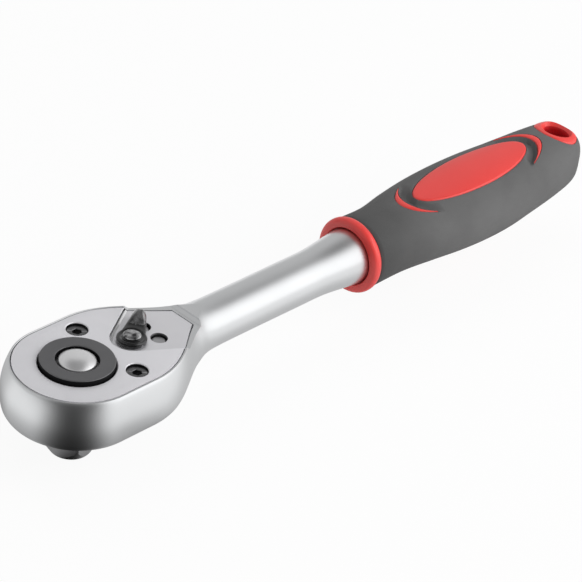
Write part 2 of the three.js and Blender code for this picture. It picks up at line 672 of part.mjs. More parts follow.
function coilSpring(name, radius, wire, turns, bottom, top) {
  const curve = new Helix(radius, turns, bottom + wire, top - wire);
  const steps = turns * 8;
  const section = new THREE.Shape().absarc(0, 0, wire, 0, 2 * Math.PI, false);
  const options = { steps, bevelEnabled: false, extrudePath: curve, curveSegments: 3 };
  const centres = curve.getPoints(steps);
  let least = Infinity;
  centres.forEach((p, i) => {
    for (let k = i + 5; k < centres.length; k += 1) least = Math.min(least, p.distanceTo(centres[k]));
  });
  console.log(`${name}: least gap between turns ${(least - 2 * wire).toFixed(2)} mm`);
  return new THREE.ExtrudeGeometry(section, options);
}

// Spring that lifts the release button
const buttonSpring = coilSpring(
  "button_spring",
  BUTTON_SPRING_RADIUS,
  BUTTON_WIRE,
  BUTTON_TURNS,
  SPRING_SEAT + FIT,
  FLANGE_BOTTOM - FIT,
);
piece("button_spring", solid(buttonSpring), SPRING_STEEL, driveGroup);

// Reversing lever: round base, waisted arm and raised thumb tab, drawn with its arm along +X
const leverGroup = new THREE.Group();
leverGroup.position.x = LEVER_X;
leverGroup.rotation.z = LEVER_ANGLE;
group.add(leverGroup);
const armStart = 1.5;
const tipMiddle = LEVER_LENGTH - LEVER_TIP;
const leverPlan = new THREE.Shape();
leverPlan.absarc(0, 0, LEVER_RADIUS, 0.3 * Math.PI, 1.7 * Math.PI, false);
leverPlan.lineTo(tipMiddle, -LEVER_TIP);
leverPlan.absarc(tipMiddle, 0, LEVER_TIP, -Math.PI / 2, Math.PI / 2, false);
leverPlan.closePath();
const tabTop = LEVER_TOP + LEVER_TAB;
const leverSide = new THREE.Shape();
leverSide.moveTo(-2 * LEVER_RADIUS, LEVER_BOTTOM);
leverSide.lineTo(LEVER_LENGTH + 1, LEVER_BOTTOM);
leverSide.lineTo(LEVER_LENGTH + 1, tabTop - 1.3);
leverSide.quadraticCurveTo(LEVER_LENGTH - 0.4, tabTop + 0.2, LEVER_LENGTH - 1.9, tabTop);
leverSide.quadraticCurveTo(LEVER_LENGTH - 4, LEVER_TOP - 0.4, LEVER_RADIUS + armStart, LEVER_TOP - 0.4);
leverSide.lineTo(LEVER_RADIUS - 0.6, LEVER_TOP);
leverSide.lineTo(-2 * LEVER_RADIUS, LEVER_TOP);
leverSide.closePath();
const sideDepth = 4 * LEVER_RADIUS;
const sideCut = new THREE.ExtrudeGeometry(leverSide, { depth: sideDepth, bevelEnabled: false, curveSegments: 8 });
sideCut.rotateX(Math.PI / 2).translate(0, sideDepth / 2, 0);
const roof = new THREE.Shape();
roof.moveTo(-LEVER_RADIUS - 1, LEVER_BOTTOM - 1);
roof.lineTo(LEVER_RADIUS + 1, LEVER_BOTTOM - 1);
roof.lineTo(LEVER_RADIUS + 1, LEVER_TOP - 0.6);
roof.lineTo(LEVER_TIP + 0.6, LEVER_TOP + 0.3);
roof.lineTo(0.9, tabTop + 0.4);
roof.lineTo(-0.9, tabTop + 0.4);
roof.lineTo(-LEVER_TIP - 0.6, LEVER_TOP + 0.3);
roof.lineTo(-LEVER_RADIUS - 1, LEVER_TOP - 0.6);
roof.closePath();
const roofCut = new THREE.ExtrudeGeometry(roof, { depth: 4 * LEVER_LENGTH, bevelEnabled: false });
roofCut.applyMatrix4(
  new THREE.Matrix4().makeBasis(
    new THREE.Vector3(0, 1, 0),
    new THREE.Vector3(0, 0, 1),
    new THREE.Vector3(1, 0, 0),
  ),
);
roofCut.translate(-2 * LEVER_LENGTH, 0, 0);
const lever = prism(leverPlan, LEVER_BOTTOM, tabTop + 1, 16)
  .intersect(solid(sideCut))
  .intersect(solid(roofCut))
  .subtract(round(TENON_RADIUS + FIT, HEAD_BOTTOM, ABOVE, 20));
piece("reversing_lever", lever, BLACK_STEEL, leverGroup);

// Lever shaft: foot in the forging, collar under the cover, tenon through the lever and riveted dome
const rivetBottom = LEVER_TOP + 0.1;
const shaftProfile = [
  [0, CAVITY_FLOOR - FIT],
  [SHAFT_RADIUS, CAVITY_FLOOR - FIT],
  [SHAFT_RADIUS, COVER_BOTTOM - PLAY - 1.2],
  [SHAFT_COLLAR, COVER_BOTTOM - PLAY - 1.2],
  [SHAFT_COLLAR, COVER_BOTTOM - PLAY],
  [SHAFT_RADIUS, COVER_BOTTOM - PLAY],
  [SHAFT_RADIUS, LEVER_BOTTOM - FIT / 2],
  [TENON_RADIUS, LEVER_BOTTOM - FIT / 2],
  [TENON_RADIUS, rivetBottom],
  [SHAFT_RADIUS, rivetBottom],
  [SHAFT_RADIUS * 0.8, rivetBottom + RIVET_HEIGHT * 0.6],
  [SHAFT_RADIUS * 0.4, rivetBottom + RIVET_HEIGHT * 0.95],
  [0, rivetBottom + RIVET_HEIGHT],
];
const pawlMiddle = (PAWL_TOP + PAWL_BOTTOM) / 2;
const plungerTail = PLUNGER_REACH - PLUNGER_LENGTH;
const springTail = plungerTail - FIT;
const springHead = -SHAFT_RADIUS + 0.6 + FIT;
const boreLength = PLUNGER_REACH + SHAFT_RADIUS - 0.6;
const plungerBore = new THREE.CylinderGeometry(PLUNGER_RADIUS + FIT, PLUNGER_RADIUS + FIT, boreLength, 16);
plungerBore.rotateZ(Math.PI / 2).translate(-PLUNGER_REACH + boreLength / 2, 0, pawlMiddle);
piece("lever_shaft", turned(shaftProfile, 20).subtract(solid(plungerBore)), BLACK_STEEL, leverGroup);

// Spring plunger in the shaft: its nose rides on the pawl's back, on the side away from the arm
const plungerNose = PLUNGER_REACH - PLUNGER_RADIUS;
const plungerProfile = [[0, plungerTail], [PLUNGER_RADIUS, plungerTail], [PLUNGER_RADIUS, plungerNose]];
for (let k = 1; k <= 4; k += 1) {
  const angle = (Math.PI / 2) * (k / 4);
  plungerProfile.push([PLUNGER_RADIUS * Math.cos(angle), plungerNose + PLUNGER_RADIUS * Math.sin(angle)]);
}
plungerProfile[plungerProfile.length - 1][0] = 0;
const plungerTurned = new THREE.LatheGeometry(plungerProfile.map((p) => new THREE.Vector2(...p)), 16);
plungerTurned.rotateZ(Math.PI / 2).translate(0, 0, pawlMiddle);
piece("pawl_plunger", solid(plungerTurned), TOOL_STEEL, leverGroup);
const plungerSpring = coilSpring(
  "plunger_spring",
  PLUNGER_SPRING_RADIUS,
  PLUNGER_WIRE,
  PLUNGER_TURNS,
  springHead,
  springTail,
);
plungerSpring.rotateY(-Math.PI / 2).translate(0, 0, pawlMiddle);
piece("plunger_spring", solid(plungerSpring), SPRING_STEEL, leverGroup);

// Pawl: two toothed wings that rock about a pin, cut to the gear in each engaged position
const ringSector = (inner, outer, from, to) => {
  const shape = new THREE.Shape();
  shape.absarc(0, 0, outer, from, to, false);
  shape.absarc(0, 0, inner, to, from, true);
  shape.closePath();
  return shape;
};
const pawlClearance = 0.25;
const cutter = prism(gearOutline(pawlClearance), PAWL_BOTTOM - 1, PAWL_TOP + 1);
const wing = (side) => {
  const angles = side > 0 ? [WING_START, WING_END] : [-WING_END, -WING_START];
  const blank = ringSector(GEAR_ROOT + pawlClearance, WING_RADIUS, ...angles);
  const toothed = geometryOf(prism(blank, PAWL_BOTTOM, PAWL_TOP, 6).subtract(cutter));
  return solid(toothed.translate(-PAWL_X, 0, 0).rotateZ(-side * PAWL_ROCK));
};
const hubAngle = WING_START + THREE.MathUtils.degToRad(4);
const hubBlank = ringSector(GEAR_TIP + 0.9, GEAR_TIP + PAWL_SPACE - 0.5, -hubAngle, hubAngle);
const pawlHub = prism(hubBlank, PAWL_BOTTOM, PAWL_TOP, 10)
  .subtract(round(PLUNGER_REACH + PLAY, HEAD_BOTTOM, ABOVE, 28, LEVER_X))
  .subtract(round(PAWL_PIN_RADIUS + FIT, HEAD_BOTTOM, ABOVE, 16, PAWL_X));
const pawl = solid(geometryOf(pawlHub).translate(-PAWL_X, 0, 0)).add(wing(SIDES.far)).add(wing(SIDES.near));
const pawlGroup = new THREE.Group();
pawlGroup.position.x = PAWL_X;
pawlGroup.rotation.z = -PAWL_ROCK;
group.add(pawlGroup);
piece("pawl", pawl, TOOL_STEEL, pawlGroup);
piece("pawl_pin", round(PAWL_PIN_RADIUS, CAVITY_FLOOR - FIT, COVER_BOTTOM - FIT, 16, PAWL_X), TOOL_STEEL);

// Grip skin from one distance to another, taken in on every side by the inset
const SHOWN_POINTS = 30;
const BURIED_POINTS = 18;
function gripSkin(inset, from, to, points) {
  const rings = [];
  const marks = GRIP.map((row) => row[0]).filter((x) => x > from + 1 && x < to - 1);
  const stops = [from, ...marks, to];
  for (const x of stops) {
    const [wide, high, rise, squareness] = [1, 2, 3, 4].map((column) => along(GRIP, x, column));
    const ring = [];
    for (let k = 0; k < points; k += 1) {
      const angle = (-2 * Math.PI * k) / points;
      const curve = (v) => Math.sign(v) * Math.abs(v) ** (2 / squareness);
      const y = (wide - inset) * curve(Math.cos(angle));
      const z = rise + (high - inset) * curve(Math.sin(angle));
      ring.push(new THREE.Vector3(COLLAR_X + x, y, z));
    }
    rings.push(ring);
  }
  return loft(rings);
}

const TALL = 3 * COLLAR_RADIUS; // cuts that pass right through the grip

// Upright prism of an oval about a point on the handle's axis
function ovalPrism(middle, length, width, bottom, top, quality = 14) {
  const shape = new THREE.Shape();
  shape.absellipse(COLLAR_X + middle, 0, length / 2, width / 2, 0, 2 * Math.PI, false, 0);
  return prism(shape, bottom, top, quality);
}

// Upright prism of a crescent that hugs one end of the oval: what a longer oval leaves of a wider one
function crescentPrism({ way, outer, inner, tip, side }, grow, bottom, top) {
  const width = (edge) => (2 * side) / Math.sqrt(1 - (tip / edge) ** 2);
  const end = new THREE.BoxGeometry(outer, 2 * TALL, 4 * TALL);
  end.translate(COLLAR_X + OVAL_MIDDLE + way * (tip / 2 + outer / 2), 0, 0);
  return ovalPrism(OVAL_MIDDLE, 2 * (outer + grow), width(outer) + 2 * grow, bottom, top)
    .subtract(ovalPrism(OVAL_MIDDLE, 2 * (inner - grow), width(inner) - 2 * grow, bottom - 1, top + 1))
    .intersect(solid(end));
}

const inlayCuts = (grow) => [
  ovalPrism(OVAL_MIDDLE, OVAL_LENGTH + 2 * grow, OVAL_WIDTH + 2 * grow, -TALL, TALL),
  crescentPrism(FRONT_CRESCENT, grow, -TALL, TALL),
  crescentPrism(REAR_CRESCENT, grow, -TALL, TALL),
  ovalPrism(EYELET_MIDDLE, EYELET_LENGTH + 2 * grow, EYELET_WIDTH + 2 * grow, -TALL, TALL),
];

// Red moulding over the tang: collar, buried barrel, inlays on both faces and the eyelet
const collarEnd = COLLAR_X + COLLAR_LENGTH;
const collarProfile = [
  [0, COLLAR_X],
  [COLLAR_RADIUS - 1.4, COLLAR_X],
  [COLLAR_RADIUS - 0.4, COLLAR_X + 0.4],
  [COLLAR_RADIUS, COLLAR_X + 1.2],
  [COLLAR_RADIUS, COLLAR_X + 2.2],
  [COLLAR_RADIUS - 0.3, COLLAR_X + 2.9],
  [COLLAR_RADIUS - 0.9, collarEnd],
  [0, collarEnd],
];
const inlaySkin = gripSkin(INLAY_SINK, COLLAR_LENGTH + FIT, GRIP_LENGTH - 1, SHOWN_POINTS);
const mouthRadius = along(SHANK, COLLAR_X, 1) + FIT;
const mouthEnd = COLLAR_X + COLLAR_MOUTH;
const tangBore = [
  [0, COLLAR_X - 1],
  [mouthRadius, COLLAR_X - 1],
  [mouthRadius, mouthEnd],
  [TANG_RADIUS + FIT, mouthEnd],
  [TANG_RADIUS + FIT, tangEnd + FIT],
  [0, tangEnd + FIT],
];
const eyeletTop = along(GRIP, EYELET_MIDDLE, 3) + along(GRIP, EYELET_MIDDLE, 2);
const eyeletBottom = along(GRIP, EYELET_MIDDLE, 3) - along(GRIP, EYELET_MIDDLE, 2);
const holeRings = [
  [eyeletTop + 1.6, HOLE_FLARE * 1.5],
  [eyeletTop - HOLE_FLARE_DEPTH, 0],
  [eyeletBottom + HOLE_FLARE_DEPTH, 0],
  [eyeletBottom - 1.6, HOLE_FLARE * 1.5],
].map(([z, flare]) => {
  const ring = [];
  for (let k = 0; k < 24; k += 1) {
    const angle = (2 * Math.PI * k) / 24;
    const x = COLLAR_X + EYELET_MIDDLE + (HOLE_LENGTH / 2 + flare) * Math.cos(angle);
    ring.push(new THREE.Vector3(x, (HOLE_WIDTH / 2 + flare) * Math.sin(angle), z));
  }
  return ring;
});
let core = gripSkin(SLEEVE_WALL, COLLAR_LENGTH - 1, CORE_END, BURIED_POINTS).add(
  turnedAlong(collarProfile, 32),
);
for (const cut of inlayCuts(0)) core = core.add(inlaySkin.intersect(cut));
core = core.subtract(turnedAlong(tangBore, 28)).subtract(loft(holeRings));
piece("grip_core", core, RED_PLASTIC);

// Grey sleeve moulded over it, with windows for the inlays and the eyelet
let sleeve = gripSkin(0, COLLAR_LENGTH + FIT, GRIP_LENGTH, SHOWN_POINTS).subtract(
  gripSkin(SLEEVE_WALL - FIT, COLLAR_LENGTH - 2, CORE_END + FIT, BURIED_POINTS),
);
for (const cut of inlayCuts(FIT)) sleeve = sleeve.subtract(cut);
piece("grip_sleeve", sleeve, GREY_RUBBER);

export default group;
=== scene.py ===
import math

import bmesh
import bpy
import numpy as np
from mathutils import Matrix, Vector


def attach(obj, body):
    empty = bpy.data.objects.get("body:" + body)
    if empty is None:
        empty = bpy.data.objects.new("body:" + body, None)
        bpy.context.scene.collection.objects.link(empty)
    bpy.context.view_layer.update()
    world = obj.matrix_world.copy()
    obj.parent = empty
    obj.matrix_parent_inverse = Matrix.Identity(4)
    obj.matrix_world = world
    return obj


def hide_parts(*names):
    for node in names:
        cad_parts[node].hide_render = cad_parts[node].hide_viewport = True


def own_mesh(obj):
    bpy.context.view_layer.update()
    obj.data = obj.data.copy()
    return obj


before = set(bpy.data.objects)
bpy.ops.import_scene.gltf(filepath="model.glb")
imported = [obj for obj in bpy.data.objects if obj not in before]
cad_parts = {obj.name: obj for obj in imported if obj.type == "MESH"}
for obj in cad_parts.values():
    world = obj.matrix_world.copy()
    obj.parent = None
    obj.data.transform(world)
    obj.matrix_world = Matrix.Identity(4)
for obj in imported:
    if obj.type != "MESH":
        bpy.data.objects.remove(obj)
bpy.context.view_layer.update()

scene = bpy.context.scene

# Forged body: head, neck, shank and tang are one steel forging, blasted and plated in satin chrome.
# Pockets milled into the head take the cover, the drive and the pawl, and the tang is buried in the grip.
# All pieces are drawn in millimetres about the handle's axis and then set into the frame.
HANDLE_HEIGHT = 22  # handle's axis above the square's end
FIT = 0.3  # gap between pieces that stay together
PLAY = 0.4  # gap round a piece that turns or slides
EDGE = 0.25  # broken edge of a machined piece
HEAD_RADIUS = 18.8
HEAD_STRAIGHT = 13
SHOULDER_RADIUS = 25
HEAD_TOP = 7.6
HEAD_BOTTOM = HEAD_TOP - 17.1
HEAD_BULGE = 2.4
BULGE_DROP = 9.1
HEAD_RIM = 0.5
UNDER_EDGE = 3.6
NECK_BLEND = 11
NECK_END = 56
SHANK_START = 20
SHANK = [(20, 8.6), (41, 8.5), (45, 8), (50, 7.6), (58, 7.45), (88, 7.5)]
SHANK += [(97, 7.55), (103, 8), (108, 8.55), (113.5, 9.05)]
COVER_BOTTOM = HEAD_TOP - 2.6
RECESS_FLOOR = HEAD_TOP - 1.3
RECESS_RIM = HEAD_TOP - 0.5  # the recess's wall is upright down to here, then slopes to the floor
RECESS_SLOPE = 0.9
RECESS_RADIUS = 6.36
RECESS_ANGLE = math.radians(30.5)
CAVITY_FLOOR = HEAD_BOTTOM + 2.5
CAVITY_RADIUS = 13.42
GEAR_BOTTOM = CAVITY_FLOOR + 1.1
JOURNAL_RADIUS = 9.4
LEVER_X = 21.02
TAIL_END = LEVER_X + 20.5
PAWL_X = 15.98
PAWL_POCKET = (18.32, math.radians(36))
SHAFT_RADIUS = 2.7
SHAFT_COLLAR = 3.6
PAWL_PIN_RADIUS = 1.2
SCREW_PLACE = (11.35, 12.52)
SCREW_TOP = HEAD_TOP - 0.8
SCREW_HOLE = 2.2
SCREW_LENGTH = 10
PIN_PLACE = (LEVER_X + 7.6, 3.5)
PIN_RADIUS = 2
PIN_TOP = COVER_BOTTOM + 0.5
PIN_LENGTH = 6.5
COLLAR_X = 112.9
SHANK_END = COLLAR_X + 1.3
TANG_RADIUS = 6.2
TANG_END = COLLAR_X + 84
FLAT_END = 70  # beyond it the shank is round all over
ABOVE = HEAD_TOP + 10
SIDES = {"far": 1, "near": -1}
SCREWS = {label: (SCREW_PLACE[0], side * SCREW_PLACE[1]) for label, side in SIDES.items()}
PINS = {label: (PIN_PLACE[0], side * PIN_PLACE[1]) for label, side in SIDES.items()}


def along(rows, x, column):
    """Smooth curve through rows that start with x, read at x from one column."""
    table = np.array(rows, float)
    places, values = table[:, 0], table[:, column]
    slopes = np.gradient(values, places)
    slopes[1:-1] = (values[2:] - values[:-2]) / (places[2:] - places[:-2])
    i = np.clip(np.searchsorted(places, x) - 1, 0, len(places) - 2)
    span = places[i + 1] - places[i]
    t = np.clip((x - places[i]) / span, 0, 1)
    rise = t * t * (3 - 2 * t)
    bend = span * (slopes[i] * t * (1 - t) ** 2 - slopes[i + 1] * t * t * (1 - t))
    return values[i] * (1 - rise) + values[i + 1] * rise + bend


def blend(a, b, reach):
    """Lower of two values, with the corner between them filled over the given reach."""
    near = np.maximum(reach - np.abs(a - b), 0) / reach
    return np.minimum(a, b) - near * near * reach / 4


def pear_distance(x, y):
    """Distance outside the pear in plan."""
    side = np.abs(y)
    shoulder = np.hypot(x - HEAD_STRAIGHT, side + SHOULDER_RADIUS - HEAD_RADIUS) - SHOULDER_RADIUS
    rear = np.where(x < HEAD_STRAIGHT, side - HEAD_RADIUS, shoulder)
    return np.where(x < 0, np.hypot(x, side) - HEAD_RADIUS, rear)


def forging_distance(x, y, z):
    """Distance outside the forging: a barrel-sided pear blended into the round shank."""
    below = HEAD_TOP - BULGE_DROP - z
    flank = HEAD_BULGE - (HEAD_BULGE - HEAD_RIM) * below * below / BULGE_DROP**2
    ahead = np.maximum(SHANK_START - x, 0)
    shank = np.sqrt(ahead * ahead + y * y + z * z) - along(SHANK, x, 1)
    sides = blend(pear_distance(x, y) - flank, shank, NECK_BLEND)
    return np.where(x > FLAT_END, shank, -blend(-sides, z - HEAD_BOTTOM, UNDER_EDGE))


def crossing(rising, low, high):
    """Where a rising function passes zero, for one number or many at once."""
    low, high = np.array(low, float), np.array(high, float)
    for _ in range(40):
        middle = (low + high) / 2
        under = rising(middle) < 0
        low, high = np.where(under, middle, low), np.where(under, high, middle)
    return (low + high) / 2


def half_section(x, count=44, samples=400, turn_weight=4):
    """Half of the forging's section at x, from the broken edge of its flat top to the middle below."""
    edge = 0.0
    if x < FLAT_END and forging_distance(x, 0.0, HEAD_TOP) < 0:
        edge = float(crossing(lambda y: forging_distance(x, y, HEAD_TOP), 0, 2 * HEAD_RADIUS))
    angles = np.linspace(math.atan2(HEAD_TOP, edge), -math.pi / 2, samples)
    c, s = np.cos(angles), np.sin(angles)
    reach = np.full(samples, 2 * HEAD_RADIUS)
    radius = crossing(lambda r: forging_distance(x, r * c, r * s), 0 * reach, reach)
    y, z = radius * c, radius * s
    step = np.hypot(np.diff(y), np.diff(z))
    heading = np.unwrap(np.arctan2(np.diff(z), np.diff(y)))
    turn = np.append(np.abs(np.diff(heading)), 0)
    length = np.append(0, np.cumsum(step))
    weight = np.append(0, np.cumsum(step + turn_weight * turn))
    broken = np.interp(EDGE, length, weight)
    wanted = np.linspace(broken, weight[-1], count)
    y_rest, z_rest = np.interp(wanted, weight, y), np.interp(wanted, weight, z)
    inner = max(edge - EDGE, 0)
    y_mid = 0.25 * inner + 0.5 * edge + 0.25 * y_rest[0]
    z_mid = 0.75 * z[0] + 0.25 * z_rest[0]
    ys = np.concatenate([[inner, y_mid], y_rest])
    zs = np.concatenate([[z[0], z_mid], z_rest])
    ys[-1] = 0
    return ys, zs


def shape_of(name, points, faces):
    """Mesh object of the given points and faces, welded and with its faces turned outward."""
    mesh = bpy.data.meshes.new(name)
    mesh.from_pydata([tuple(p) for p in points], [], faces)
    work = bmesh.new()
    work.from_mesh(mesh)
    bmesh.ops.remove_doubles(work, verts=work.verts, dist=1e-4)
    bmesh.ops.recalc_face_normals(work, faces=work.faces)
    work.to_mesh(mesh)
    work.free()
    shape = bpy.data.objects.new(name, mesh)
    scene.collection.objects.link(shape)
    return shape


def skin(rings, closed=False):
    """Shape through rings of equally many points: capped at both ends, or closed into a ring."""
    rings = [np.array(r, float) for r in rings]
    count, total = len(rings[0]), len(rings)
    faces = []
    for i in range(total if closed else total - 1):
        a, b = i * count, ((i + 1) % total) * count
        for k in range(count):
            n = (k + 1) % count
            faces.append((a + k, a + n, b + n, b + k))
    if not closed:
        faces.append(tuple(range(count)))
        faces.append(tuple(range((total - 1) * count, total * count)))
    return shape_of("shape", np.concatenate(rings), faces)


def full_turn(count):
    """Equally spaced angles of one full turn."""
    return np.linspace(0, 2 * math.pi, count, endpoint=False)


def bow(radius, angles, x=0.0, y=0.0):
    """Points of an arc about a middle, at the given angles."""
    return np.column_stack([x + radius * np.cos(angles), y + radius * np.sin(angles)])


def circle(radius, segments, x=0.0, y=0.0):
    """Points of a circle."""
    return bow(radius, full_turn(segments), x, y)


def at_height(flat, height):
    """Points in plan, raised to one height or to a height each."""
    return np.column_stack([flat, np.broadcast_to(height, len(flat))])


def at_station(x, flat):
    """Points of an upright section, set at a distance along the handle."""
    return np.column_stack([np.full(len(flat), x), flat])


def soften(rows, size, closed=False, steps=4):
    """Polyline whose corners are rounded, each over the given size at most."""
    rows = [np.array(r, float) for r in rows]
    soft = []
    for i, corner in enumerate(rows):
        if not closed and i in (0, len(rows) - 1):
            soft.append(corner)
            continue
        before, after = rows[i - 1] - corner, rows[(i + 1) % len(rows)] - corner
        reach = min(size, 0.45 * np.linalg.norm(before), 0.45 * np.linalg.norm(after))
        start = corner + before / np.linalg.norm(before) * reach
        end = corner + after / np.linalg.norm(after) * reach
        for t in np.linspace(0, 1, steps + 1):
            soft.append((1 - t) ** 2 * start + 2 * t * (1 - t) * corner + t * t * end)
    return soft


def turned(rows, segments=96, place=(0, 0), ring=False):
    """Shape turned about an upright line through a place in plan, from rows of radius and height."""
    rings = [at_height(circle(max(radius, 0), segments, *place), height) for radius, height in rows]
    return skin(rings, closed=ring)


def turned_along(rows, segments=96, place=(0, 0)):
    """Shape turned about a line along the handle, from rows of radius and distance."""
    return skin([at_station(x, circle(max(radius, 0), segments, *place)) for radius, x in rows])


def round_hole(radius, bottom, top=ABOVE, place=(0, 0), segments=64):
    """Plain round cutter."""
    return turned([(radius, bottom), (radius, top)], segments, place)


def prism(outline, levels):
    """Upright prism of a flat outline; each level is a height and how far the outline grows there."""
    outline = np.array(outline, float)
    ahead = np.roll(outline, -1, 0) - outline
    ahead /= np.linalg.norm(ahead, axis=1)[:, None]
    behind = np.roll(ahead, 1, 0)
    outward = np.column_stack([ahead[:, 1] + behind[:, 1], -ahead[:, 0] - behind[:, 0]])
    outward /= 1 + np.sum(ahead * behind, axis=1)[:, None]
    return skin([at_height(outline + grow * outward, height) for height, grow in levels])


def combine(shape, tools, operation="DIFFERENCE"):
    """Cuts, joins or intersects a shape with other shapes, which are used up."""
    for tool in tools:
        change = shape.modifiers.new("change", "BOOLEAN")
        change.operation = operation
        change.solver = "MANIFOLD"
        change.object = tool
    bpy.context.view_layer.update()
    graph = bpy.context.evaluated_depsgraph_get()
    made = bpy.data.meshes.new_from_object(shape.evaluated_get(graph))
    shape.modifiers.clear()
    shape.data = made
    for tool in tools:
        bpy.data.objects.remove(tool)
    return shape


def cover_outline(inset):
    """Flat outline of the cover or, with no inset, of its pocket."""
    tail = TAIL_END - inset
    x = np.linspace(HEAD_STRAIGHT, tail, 70)
    least, most = 0 * x, 0 * x + 2 * HEAD_RADIUS
    y = crossing(lambda v: forging_distance(x, v, HEAD_TOP) + HEAD_RIM + inset, least, most)
    y = np.maximum(y, 1)
    nose = bow(HEAD_RADIUS - inset, np.linspace(math.pi / 2, 1.5 * math.pi, 97))
    near = np.column_stack([x, -y])
    far = np.column_stack([x, y])[::-1]
    return np.concatenate([nose, near, far])


def recess_outline(beyond=0):
    """Fan-shaped recess: a round end behind the lever and two walls that open towards the tail."""
    tail = TAIL_END + beyond
    c, s = math.cos(RECESS_ANGLE), math.sin(RECESS_ANGLE)
    angle = np.linspace(math.pi / 2 + RECESS_ANGLE, 1.5 * math.pi - RECESS_ANGLE, 33)
    bend = bow(RECESS_RADIUS, angle, LEVER_X)
    side = bend[0][1] + (tail - bend[0][0]) * s / c
    return np.concatenate([bend, [(tail, -side), (tail, side)]])


def recess_cutter():
    """Recess with its sloped foot and its broken upper edge."""
    levels = [(RECESS_FLOOR, -RECESS_SLOPE), (RECESS_RIM, 0), (HEAD_TOP - EDGE, 0), (HEAD_TOP, EDGE)]
    return prism(recess_outline(beyond=2), levels + [(ABOVE, EDGE)])


def finish_piece(shape, node, body, material, place=None):
    """Sets a drawn shape into the frame as a smooth piece that stands for its CAD node."""
    shape.name = node + "_skin"
    mesh = shape.data
    mesh.name = shape.name
    raise_up = Matrix.Translation((0, 0, HANDLE_HEIGHT))
    mesh.transform(Matrix.Scale(0.001, 4) @ raise_up @ (place or Matrix.Identity(4)))
    mesh.shade_smooth()
    mesh.set_sharp_from_angle(angle=math.radians(32))
    mesh.materials.clear()
    mesh.materials.append(material)
    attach(shape, body)
    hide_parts(node)
    return shape


def paint(piece, material, chosen):
    """Second material, for a finish, a painted shade or a painted highlight, on the faces that are chosen
    by the place of their middle and their upward tilt.
    """
    piece.data.materials.append(material)
    index = len(piece.data.materials) - 1
    for face in piece.data.polygons:
        x, y, z = 1000 * face.center
        if chosen(x, y, z - HANDLE_HEIGHT, face.normal.z):
            face.material_index = index


def display(red, green, blue):
    """Colour as it shows on a screen, from 0 to 255, in the shader's own scale."""
    def linear(v):
        v /= 255
        return v / 12.92 if v <= 0.04045 else ((v + 0.055) / 1.055) ** 2.4

    return (linear(red), linear(green), linear(blue), 1)


def new_group(name, inputs, outputs):
    """Empty shader node group with number inputs and the given outputs."""
    group = bpy.data.node_groups.new(name, "ShaderNodeTree")
    for label, value in inputs.items():
        socket = group.interface.new_socket(label, in_out="INPUT", socket_type="NodeSocketFloat")
        socket.default_value = value
    for label in outputs:
        group.interface.new_socket(label, in_out="OUTPUT", socket_type="NodeSocketFloat")
    return group, group.nodes.new("NodeGroupInput"), group.nodes.new("NodeGroupOutput")


def add_node(tree, kind, values=None, **settings):
    """New shader node with its settings, and with its inputs set or linked by name or number."""
    node = tree.nodes.new("ShaderNode" + kind)
    for key, value in settings.items():
        setattr(node, key, value)
    for key, value in (values or {}).items():
        if isinstance(value, bpy.types.NodeSocket):
            tree.links.new(value, node.inputs[key])
        else:
            node.inputs[key].default_value = value
    return node


def reckon(tree, operation, a, b, **settings):
    """Result of a sum or product of two numbers in a shader."""
    return add_node(tree, "Math", {0: a, 1: b}, operation=operation, **settings).outputs[0]


def spread(tree, value, start=0.0, end=1.0, first=0.0, last=1.0, **settings):
    """Number that goes from first to last as a value goes from start to end."""
    limits = {"Value": value, "From Min": start, "From Max": end, "To Min": first, "To Max": last}
    return add_node(tree, "MapRange", limits, **settings).outputs["Result"]


def noise(tree, scale, detail=3.0, roughness=0.5):
    """Noise over the surface of a piece."""
    place = add_node(tree, "TexCoord").outputs["Object"]
    values = {"Vector": place, "Scale": scale, "Detail": detail, "Roughness": roughness}
    return add_node(tree, "TexNoise", values).outputs["Fac"]


def mix_colours(tree, share, first, second):
    """Two colours, mixed by the second one's share."""
    values = {"Factor": share, 6: first, 7: second}
    return add_node(tree, "Mix", values, data_type="RGBA").outputs[2]


# Grain group: the fine blasted or moulded grain of a surface, with slower cloudy change across it
grain_group, grain_in, grain_out = new_group(
    "surface grain", {"Scale": 4000.0, "Cloud Scale": 60.0}, ["Height", "Cloud"]
)
grain_fine = noise(grain_group, grain_in.outputs["Scale"], roughness=0.6)
grain_cloud = noise(grain_group, grain_in.outputs["Cloud Scale"], detail=4.0, roughness=0.55)
grain_group.links.new(grain_fine, grain_out.inputs["Height"])
grain_group.links.new(grain_cloud, grain_out.inputs["Cloud"])

# Wear group: where handling has rubbed the edges of a piece, broken up by noise. Set to spread over the
# faces, it also carries painted highlight
wear_group, wear_in, wear_out = new_group(
    "rubbed edges", {"Start": 0.52, "End": 0.6, "Break Scale": 900.0}, ["Mask"]
)
wear_point = add_node(wear_group, "NewGeometry").outputs["Pointiness"]
wear_edges = spread(wear_group, wear_point, wear_in.outputs["Start"], wear_in.outputs["End"])
wear_break = spread(wear_group, noise(wear_group, wear_in.outputs["Break Scale"]), 0.35, 0.6)
wear_mask = reckon(wear_group, "MULTIPLY", wear_edges, wear_break)
wear_group.links.new(wear_mask, wear_out.inputs["Mask"])


